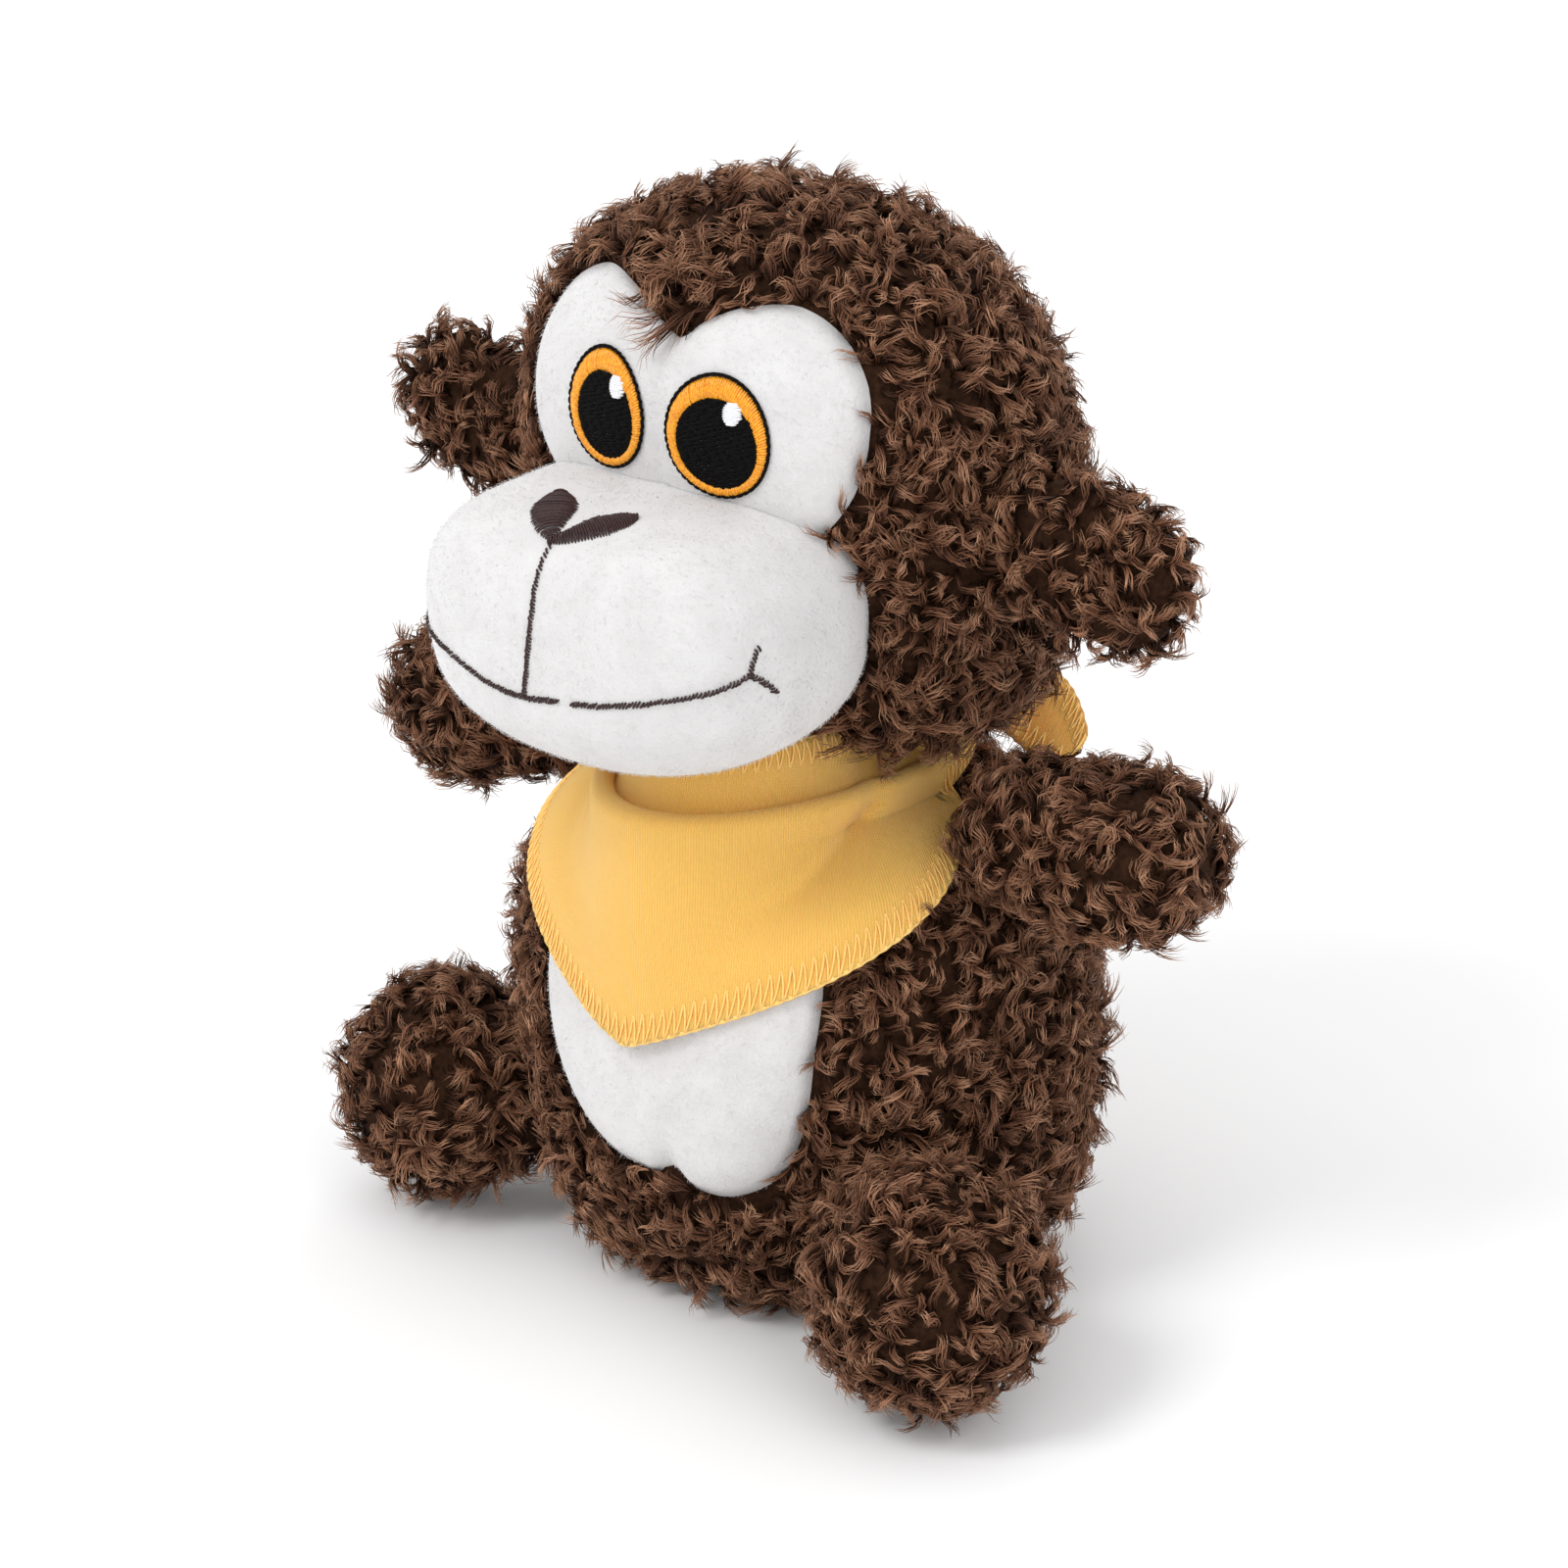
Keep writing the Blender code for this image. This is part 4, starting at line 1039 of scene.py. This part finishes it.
def end_grid(side, sign):
    """A loose end behind the neck: a short round-ended flap that leaves the knot, leans back and curls."""
    low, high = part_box(f"bandana_{side}_tail")
    knot = sum(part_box("bandana_knot"), Vector()) / 2
    length = high.x - low.x
    droop = 2.4 * MM if sign < 0 else 0.0
    rows = []
    for across in np.linspace(-1.0, 1.0, 18):
        line = []
        for share in np.linspace(0.0, 1.0, 30):
            rounding = math.sqrt(max(0.0, 1 - max(0.0, share - 0.6) ** 2 / 0.2))
            full = math.sin(math.pi * min(1.0, 0.14 + 0.62 * share)) * rounding
            out = across * END_HALF_WIDTH * (0.2 + 0.8 * full)
            lean = 0.75 + 0.2 * math.sin(3.2 * share)
            x = sign * (3.5 * MM + (length + 1.5 * MM) * share)
            y = knot.y + 0.8 * MM - 4.5 * MM * share**2 + out * math.sin(lean)
            curl = 0.8 * MM * math.sin(6.0 * share + 2.0 * across)
            z = knot.z + 2.0 * MM * math.sin(math.pi * share) - 6.0 * MM * share**1.5 + out * math.cos(lean)
            line.append((x, y + curl, z - droop * share))
        rows.append(line)
    return np.array(rows)


def make_knot():
    """The half hitch behind the neck: a bar of cloth wound once round the two ends."""
    low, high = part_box("bandana_knot")
    centre = np.array((low + high) / 2)
    half = np.array((high - low) / 2)
    directions, faces, _ = ball_mesh(5)
    length = (np.abs(directions) ** KNOT_POWER).sum(axis=1) ** (1 / KNOT_POWER)
    points = directions / length[:, None] * (half * np.array([0.9, 1.0, 1.0]))
    turn = np.arctan2(points[:, 2], points[:, 1])
    ridge = 0.35 * MM * np.sin(points[:, 0] / (0.9 * MM) + 1.6 * np.sin(turn))
    waist = 1.0 - 0.16 * np.exp(-((points[:, 0] / (2.2 * MM)) ** 2))
    points[:, 1:] *= waist[:, None]
    points += directions * ridge[:, None]
    uv = np.stack([points[:, 0], turn * half[1]], axis=1)
    return mesh_object("bandana_knot_cloth", points + centre, faces, FINISH["jersey"], uv, "cloth")


def hem_of(name, grid, width, last, normal):
    """The serged hem on a grid's first row, or on its last."""
    edge = grid[-1] if last else grid[0]
    return serged_hem(name, edge, row_at(grid, width, last), row_at(grid, width / 2, last), normal)


def make_bandana(torso_skin):
    """The cloth, its serged edges, and the knot with its two ends."""
    grid = bandana_points(tree_of(torso_skin))
    cloth = cloth_object("bandana", grid)
    normals = grid_normals(grid)
    outward = 1.0 if normals[5, COLUMNS // 2][1] < 0 else -1.0
    hems = [hem_of("bandana_lower_hem", grid, HEM_WIDTH, False, normals[0] * outward),
            hem_of("bandana_collar_hem", grid, COLLAR_HEM_WIDTH, True, normals[-2] * outward)]
    ends = []
    for side, sign in SIDES:
        leaf = end_grid(side, sign)
        ends.append(cloth_object(f"bandana_{side}_end", leaf))
        face = grid_normals(leaf)
        for edge, last, row in (("upper", True, -2), ("lower", False, 1)):
            for turned, way in (("front", 1.0), ("back", -1.0)):
                name = f"bandana_{side}_{edge}_{turned}_hem"
                hems.append(hem_of(name, leaf, END_HEM_WIDTH, last, face[row] * way))
    knot = make_knot()
    assign(cloth, "torso", "jersey", "bandana_cloth")
    assign(knot, "torso", "jersey", "bandana_knot")
    for end, (side, _) in zip(ends, SIDES):
        assign(end, "torso", "jersey", f"bandana_{side}_tail")
    for hem in hems:
        assign(hem, "torso", "jersey")
    return cloth


# ---------------------------------------------------------------- pile

FIELD_SEED = 5  # Blender seeds its noise vectors from the clock unless it is told a seed
PILE_DENSITY = 0.235 / MM**2
WISP_HAIRS = 10
STATIONS = 6
HAIR_WIDTH = 0.18 * MM
CORE_WIDTH = 0.6 * MM
HAIR_TAPER = np.array([0.9, 1.0, 1.0, 0.9, 0.65])
CORE_TAPER = np.array([0.8, 1.0, 0.9, 0.6, 0.3])
CURVE = (0.9, 2.3)  # how far a wisp bends over from root to tip, in radians
TILT = (0.3, 1.05)  # and how far it leans at its root
UPRIGHT_TILT = (0.0, 0.35)
WAVE = (0.45, 1.1)
TWIST = 1.1
SIZES = (0.7, 1.25)  # of the pile's length
CORE_LENGTH = 0.75  # of its wisp's
CORE_TONE = 0.2  # of its wisp's
HAIR_SPREAD = 0.78 * MM  # from its wisp's middle, at the root
HAIR_HABITS = np.array([0.08, 0.15, 0.12, 0.08, 0.26, 0.0])  # how much each number varies from hair to hair
HAIRS_IN_PIECE = 7000
SUNK = 3.0 * MM  # deeper than this in a neighbouring part, a root is left out

# A wisp that meets a neighbour grows again: shorter each time, and with its lean turned round or not
RETRIES = ((0.95, -1.0), (0.85, 1.0), (0.75, -1.0), (0.6, 1.0), (0.45, -1.0))

# Where the pile is combed, in millimetres, and which way
NOTCH = (1.5, 171.0)
NOTCH_COMB = np.array([-2.2, -0.6, -3.0])
JAW_Z = 112.0
JAW_COMB = np.array([0.0, 0.0, -1.6])

PILE_LENGTHS = {"head": 7.6 * MM, "torso": 7.6 * MM, "neck": 9.0 * MM, "arm": 7.4 * MM, "leg": 7.6 * MM,
                "ear": 7.0 * MM}
NECK_BAND = (86 * MM, 97 * MM)
OFF_FLOOR = 1.2 * MM

FUZZ_DENSITY = 1.3 / MM**2
FUZZ_LENGTH = 0.8 * MM
FUZZ_TAPER = np.array([0.032, 0.028]) * MM


def strand_object(name, lines, reference, half, tone, finish):
    """One piece of many strands; its UV holds each strand's tone and the share of the way to its tip."""
    sides = 3
    along = unit(np.gradient(lines, axis=1))
    side = unit(reference[:, None] - (reference[:, None] * along).sum(axis=2, keepdims=True) * along)
    points, faces = tubes(lines, side, np.cross(along, side), half, half, sides, pointed=True)
    shares = np.concatenate([np.repeat(np.linspace(0.02, 0.9, lines.shape[1] - 1), sides), [0.98]])
    uv = np.stack([np.repeat(tone, len(shares)), np.tile(shares, len(tone))], axis=1)
    return mesh_object(name, points, faces, finish, uv)


def surface_samples(obj, density, rng):
    """Random places on an object's surface, even by area, with its smooth normals."""
    obj.data.calc_loop_triangles()
    triangles = np.empty(len(obj.data.loop_triangles) * 3, np.int32)
    obj.data.loop_triangles.foreach_get("vertices", triangles)
    triangles = triangles.reshape(-1, 3)
    points, normals = points_of(obj), normals_of(obj)
    corners = points[triangles]
    doubled = np.cross(corners[:, 1] - corners[:, 0], corners[:, 2] - corners[:, 0])
    areas = np.linalg.norm(doubled, axis=1) / 2
    count = int(areas.sum() * density)
    chosen = rng.choice(len(areas), size=count, p=areas / areas.sum())
    first, second = rng.random(count), rng.random(count)
    flip = first + second > 1
    first[flip], second[flip] = 1 - first[flip], 1 - second[flip]
    weights = np.stack([1 - first - second, first, second], axis=1)[:, :, None]
    return (corners[chosen] * weights).sum(axis=1), unit((normals[triangles[chosen]] * weights).sum(axis=1))


def behind(corners):
    """Tells which points a white panel with this outline hides, seen from the front."""
    outline = resampled(corners, 160, closed=True)

    def test(points):
        x, z = points[:, 0], points[:, 2]
        inside = np.zeros(len(points), bool)
        for (x0, z0), (x1, z1) in zip(outline, np.roll(outline, -1, axis=0)):
            with np.errstate(divide="ignore", invalid="ignore"):
                where = x0 + (z - z0) * (x1 - x0) / (z1 - z0)
            inside ^= ((z0 > z) != (z1 > z)) & (x < where)
        return inside & (points[:, 1] < -10 * MM)

    return test


noise.seed_set(FIELD_SEED)


def field(points, size, seed):
    """A smooth random vector at each point."""
    shift = Vector((seed * 3.1, seed * 1.7, seed * 2.3))
    return np.array([noise.noise_vector(Vector(p) / size + shift) for p in points]).reshape(-1, 3)


def level(ways, normals):
    """Each way laid flat on its surface."""
    return unit(ways - (ways * normals).sum(axis=1, keepdims=True) * normals)


def wisp_habits(points, normals, length, rng, seed, comb=None, upright=False):
    """How each wisp grows: its lean across the skin, and the numbers that strand_lines reads."""
    count = len(points)
    lean = 1.25 * field(points, 9 * MM, seed) + 0.7 * rng.normal(size=(count, 3))
    size = length * rng.uniform(*SIZES, count)
    if comb:
        way = comb(points)
        lean += way
        size *= 1.0 + 0.2 * np.linalg.norm(way, axis=1)
    tilt = rng.uniform(*(UPRIGHT_TILT if upright else TILT), count)
    curl = rng.uniform(*CURVE, count)
    twist = rng.normal(0.0, TWIST, count)
    wave = rng.uniform(*WAVE, count)
    phase = rng.uniform(0.0, 2 * np.pi, count)
    return level(lean, normals), np.stack([tilt, curl, twist, wave, phase, size], axis=1)


def strand_lines(points, normals, lean, numbers):
    """The line that each strand follows: out of the backing, waving from side to side and curling over."""
    tilt, curl, twist, wave, phase, size = numbers.T
    sideways = np.cross(normals, lean)
    shares = np.linspace(0.0, 1.0, STATIONS)
    steps = [np.zeros(points.shape)]
    for share in (shares[1:] + shares[:-1]) / 2:
        tip = tilt + curl * share**1.2
        swing = twist * share + wave * np.sin(2 * np.pi * share + phase)
        flat = lean * np.cos(swing)[:, None] + sideways * np.sin(swing)[:, None]
        way = normals * np.cos(tip)[:, None] + flat * np.sin(tip)[:, None]
        steps.append(way * (size / (STATIONS - 1))[:, None])
    return points[:, None] + np.cumsum(np.stack(steps, axis=1), axis=1)


def clear_of(lines, trees):
    """True for each strand whose line meets none of the trees."""
    free = np.ones(len(lines), bool)
    for i, line in enumerate(lines if trees else ()):
        for a, b in ((0, 2), (2, 4), (4, STATIONS - 1)):
            start, way = Vector(line[a]), Vector(line[b] - line[a])
            if any(tree.ray_cast(start, way, way.length)[0] is not None for tree in trees):
                free[i] = False
                break
    return free


def outside_of(points, trees, depth):
    """True for each point that isn't deeper than a depth inside any of the closed forms."""
    free = np.ones(len(points), bool)
    for i, point in enumerate(points):
        for tree in trees:
            place, normal, _, distance = tree.find_nearest(Vector(point), 0.05)
            if place is not None and (Vector(point) - place).dot(normal) < 0 and distance > depth:
                free[i] = False
                break
    return free


def hairs_of(points, normals, lean, numbers, rng):
    """Each wisp's hairs, near its own line but each with a curl of its own, and the way beside each."""
    wisps = points, normals, lean, numbers
    root, out, flat, own = (np.repeat(values, WISP_HAIRS, axis=0) for values in wisps)
    count = len(root)
    own = own + rng.normal(size=own.shape) * HAIR_HABITS
    own[:, 5] *= rng.uniform(0.8, 1.06, count)
    sideways = np.cross(out, flat)
    angle = rng.uniform(0.0, 2 * np.pi, (count, 1))
    away = HAIR_SPREAD * np.sqrt(rng.uniform(0.05, 1.0, (count, 1)))
    offset = away * (np.cos(angle) * sideways + np.sin(angle) * flat)
    gather = 1.0 - 0.78 * np.linspace(0.0, 1.0, STATIONS) ** 1.2
    return strand_lines(root, out, flat, own) + offset[:, None] * gather[None, :, None], sideways


def above(lines, height):
    """The lines, with no place of them lower than a height."""
    lines[..., 2] = np.maximum(lines[..., 2], height)
    return lines


def grow_pile(body, skin, seed, allowed=None, blockers=(), others=(), comb=None):
    """Covers a skin with wisps of curly pile, in pieces small enough to pass on whole."""
    length = PILE_LENGTHS[body.split("_")[-1]]
    rng = np.random.default_rng(seed)
    points, normals = surface_samples(skin, PILE_DENSITY, rng)
    if allowed:
        keep = allowed(points)
        points, normals = points[keep], normals[keep]
    keep = outside_of(points, others, SUNK)
    points, normals = points[keep], normals[keep]
    lean, numbers = wisp_habits(points, normals, length, rng, seed, comb)
    for share, way in RETRIES:
        again = np.nonzero(~clear_of(strand_lines(points, normals, lean, numbers), blockers))[0]
        new_lean, numbers[again] = wisp_habits(
            points[again], normals[again], share * length, rng, seed, upright=way > 0)
        lean[again] = way * new_lean
    keep = np.nonzero(clear_of(strand_lines(points, normals, lean, numbers), blockers))[0]
    order = keep[np.argsort(points[keep][:, 2])]
    wisps = points[order], normals[order], lean[order], numbers[order]
    hairs, sideways = hairs_of(*wisps, rng)
    free = clear_of(hairs, blockers)
    hairs, sideways = above(hairs[free], FLOOR_CLEAR), sideways[free]
    cores = strand_lines(*wisps)
    cores = above(cores[:, :1] + (cores - cores[:, :1]) * CORE_LENGTH, 2 * FLOOR_CLEAR)
    tone = rng.beta(1.7, 2.3, len(cores))
    hair_tone = np.repeat(tone, WISP_HAIRS)[free] + rng.normal(0.0, 0.16, len(hairs))
    hair_tone = np.clip(hair_tone, 0.02, 0.98)
    hair_half = HAIR_WIDTH / 2 * HAIR_TAPER[None] * rng.uniform(0.75, 1.25, (len(hairs), 1))
    core_half = CORE_WIDTH / 2 * CORE_TAPER[None] * rng.uniform(0.7, 1.2, (len(cores), 1))
    pieces = max(1, math.ceil(len(hairs) / HAIRS_IN_PIECE))
    for number, chosen in enumerate(np.array_split(np.arange(len(hairs)), pieces), 1):
        assign(strand_object(f"{body}_pile_{number:02d}", hairs[chosen], sideways[chosen], hair_half[chosen],
                             hair_tone[chosen], FINISH["pile"]), body, "fur")
    # The dark cores are painted shade inside each wisp.
    assign(strand_object(f"{body}_pile_under", cores, np.cross(wisps[1], wisps[2]), core_half,
                         tone * CORE_TONE, FINISH["under"]), body, "fur")


def head_comb(points):
    """Combs the pile above the mask's notch down over it, and the pile under the jaw down to the collar."""
    x, y, z = points.T / MM
    near = np.exp(-(((x - NOTCH[0]) / 6.0) ** 2) - ((z - NOTCH[1]) / 6.0) ** 2) * (y < 0)
    low = np.clip((JAW_Z - z) / 12.0, 0.0, 1.0)
    return near[:, None] * NOTCH_COMB + low[:, None] * JAW_COMB


def make_pile(skins, mask, belly, muzzle, bandana):
    """The pile on every skin, and on the neck where it can show between the collar and the head."""
    hidden_head, hidden_torso = behind(MASK_EDGE), behind(BELLY_EDGE)
    cloth = tree_of(bandana)
    trees = {name: tree_of(skin) for name, skin in skins.items()}

    def off_floor(points):
        return points[:, 2] > OFF_FLOOR

    grow_pile("head", skins["head"], 11, lambda points: ~hidden_head(points),
              [tree_of(mask), tree_of(muzzle), cloth], [trees["left_ear"], trees["right_ear"]], head_comb)
    limbs = [trees[f"{side}_{limb}"] for side, _ in SIDES for limb in ("arm", "leg")]
    grow_pile("torso", skins["torso"], 12, lambda points: ~hidden_torso(points) & off_floor(points),
              [cloth, tree_of(belly)], limbs)
    grow_pile("neck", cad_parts["neck_stuffing"], 30,
              lambda points: (points[:, 2] > NECK_BAND[0]) & (points[:, 2] < NECK_BAND[1]))
    for seed, (side, _) in enumerate(SIDES, 13):
        arm, leg, ear = f"{side}_arm", f"{side}_leg", f"{side}_ear"
        grow_pile(arm, skins[arm], seed, None, [cloth], [trees["torso"]])
        grow_pile(leg, skins[leg], seed + 4, off_floor, [], [trees["torso"]])
        grow_pile(ear, skins[ear], seed + 8, None, [], [trees["head"]])


def near_threads(points):
    """True where a face's embroidery covers the white pile."""
    x, y, z = points.T / MM
    covered = np.zeros(len(points), bool)
    for eye in EYES.values():
        (eye_x, eye_z), (half_x, half_z) = eye["centre"], eye["half"]
        covered |= ((x - eye_x) / (half_x + 0.3)) ** 2 + ((z - eye_z) / (half_z + 0.3)) ** 2 < 1.0
    for leaf in NOSE_LEAVES.values():
        for spot_x, spot_y in resampled(leaf["spine"], 9, closed=False):
            covered |= (np.hypot(x - spot_x, y - spot_y) < leaf["half"] + 0.4) & (z > 130.0)
    return covered


def grow_fuzz(name, obj, body, seed, allowed, inside):
    """Short brushed fibres on a white piece."""
    rng = np.random.default_rng(seed)
    points, normals = surface_samples(obj, FUZZ_DENSITY, rng)
    keep = allowed(points, normals) & ~near_threads(points)
    points, normals = points[keep], normals[keep]
    keep = outside_of(points, inside, 0.3 * MM)
    points, normals = points[keep], normals[keep]
    lean = 1.5 * field(points, 7 * MM, seed) + 0.5 * rng.normal(size=(len(points), 3)) - 0.6 * UP
    lean = level(lean, normals)
    size = rng.uniform(0.7, 1.3, len(points))[:, None] * FUZZ_LENGTH
    middle = points + size * (0.30 * normals + 0.32 * lean)
    tip = points + size * (0.44 * normals + 0.80 * lean)
    lines = np.stack([points - 0.1 * MM * normals, middle, tip], axis=1)
    half = np.broadcast_to(FUZZ_TAPER, (len(points), 2))
    tone = rng.uniform(0, 1, len(points))
    fuzz = strand_object(name, lines, np.cross(normals, lean), half, tone, FINISH["fuzz"])
    assign(fuzz, body, "white_plush")


def make_fuzz(skins, mask, belly, muzzle):
    head, chin = tree_of(skins["head"]), tree_of(muzzle)
    grow_fuzz("mask_fuzz", mask, "head", 31, lambda p, n: n[:, 1] < 0.0, [chin])
    grow_fuzz("belly_fuzz", belly, "torso", 32, lambda p, n: n[:, 1] < 0.2, [])
    grow_fuzz("muzzle_fuzz", muzzle, "head", 33, lambda p, n: p[:, 1] < -20 * MM, [head])


# ---------------------------------------------------------------- stage

CAMERA_TARGET = Vector((-5.3, 0.0, 79.2)) * MM
CAMERA_AZIMUTH = math.radians(38.0)
CAMERA_ELEVATION = math.radians(23.0)
CAMERA_DISTANCE = 0.805
CAMERA_LENS = 112.5
SURROUND = 0.92

# Place, width and power of each lamp
LAMPS = {
    "key": ((-0.2, -0.8, 0.95), 0.45, 5.2),
    "fill": ((0.95, -0.35, 0.6), 0.8, 2.4),
    "back": ((-0.3, 0.8, 0.8), 0.7, 1.6),
}


def make_camera():
    data = bpy.data.cameras.new("camera")
    data.lens = CAMERA_LENS
    data.sensor_width = 36.0
    data.clip_start = 0.01
    camera = bpy.data.objects.new("camera", data)
    level_way = Vector((math.sin(CAMERA_AZIMUTH), -math.cos(CAMERA_AZIMUTH), 0.0))
    back = level_way * math.cos(CAMERA_ELEVATION) + Vector((0.0, 0.0, math.sin(CAMERA_ELEVATION)))
    camera.location = CAMERA_TARGET + back * CAMERA_DISTANCE
    camera.rotation_euler = (-back).to_track_quat("-Z", "Y").to_euler()
    bpy.context.scene.collection.objects.link(camera)
    bpy.context.scene.camera = camera


def area_light(name, place, size, power):
    data = bpy.data.lights.new(name, "AREA")
    data.shape = "DISK"
    data.size = size
    data.energy = power
    light = bpy.data.objects.new(name, data)
    light.location = place
    light.rotation_euler = (CAMERA_TARGET - Vector(place)).to_track_quat("-Z", "Y").to_euler()
    bpy.context.scene.collection.objects.link(light)


def make_stage():
    """A pale floor, a bright even surround and soft lamps."""
    bpy.ops.mesh.primitive_plane_add(size=8.0, location=(0.0, 0.0, 0.0))
    floor = bpy.context.object
    floor.name = "floor"
    nodes = Nodes("pale_floor", roughness=0.9, specular=0.1)
    nodes.colour(nodes.ramp(nodes.noise(6.0), [(0.0, linear(244, 244, 245)), (1.0, linear(250, 250, 250))]))
    floor.data.materials.append(nodes.material)
    world = bpy.data.worlds.new("studio")
    world.use_nodes = True
    background = world.node_tree.nodes["Background"]
    background.inputs["Color"].default_value = (1.0, 1.0, 1.0, 1.0)
    background.inputs["Strength"].default_value = SURROUND
    bpy.context.scene.world = world
    for name, lamp in LAMPS.items():
        area_light(name, *lamp)
    bpy.context.scene.view_settings.view_transform = "Standard"


def main():
    make_camera()
    skins = make_skins()
    mask, belly = make_white_panels(skins)
    muzzle = make_muzzle()
    make_embroidery(mask, muzzle)
    bandana = make_bandana(skins["torso"])
    make_pile(skins, mask, belly, muzzle, bandana)
    make_fuzz(skins, mask, belly, muzzle)
    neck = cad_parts["neck_stuffing"]
    # The neck's stuffing takes the backing's finish, dark with its painted shade.
    neck.data.materials.clear()
    neck.data.materials.append(FINISH["backing"])
    make_stage()


main()
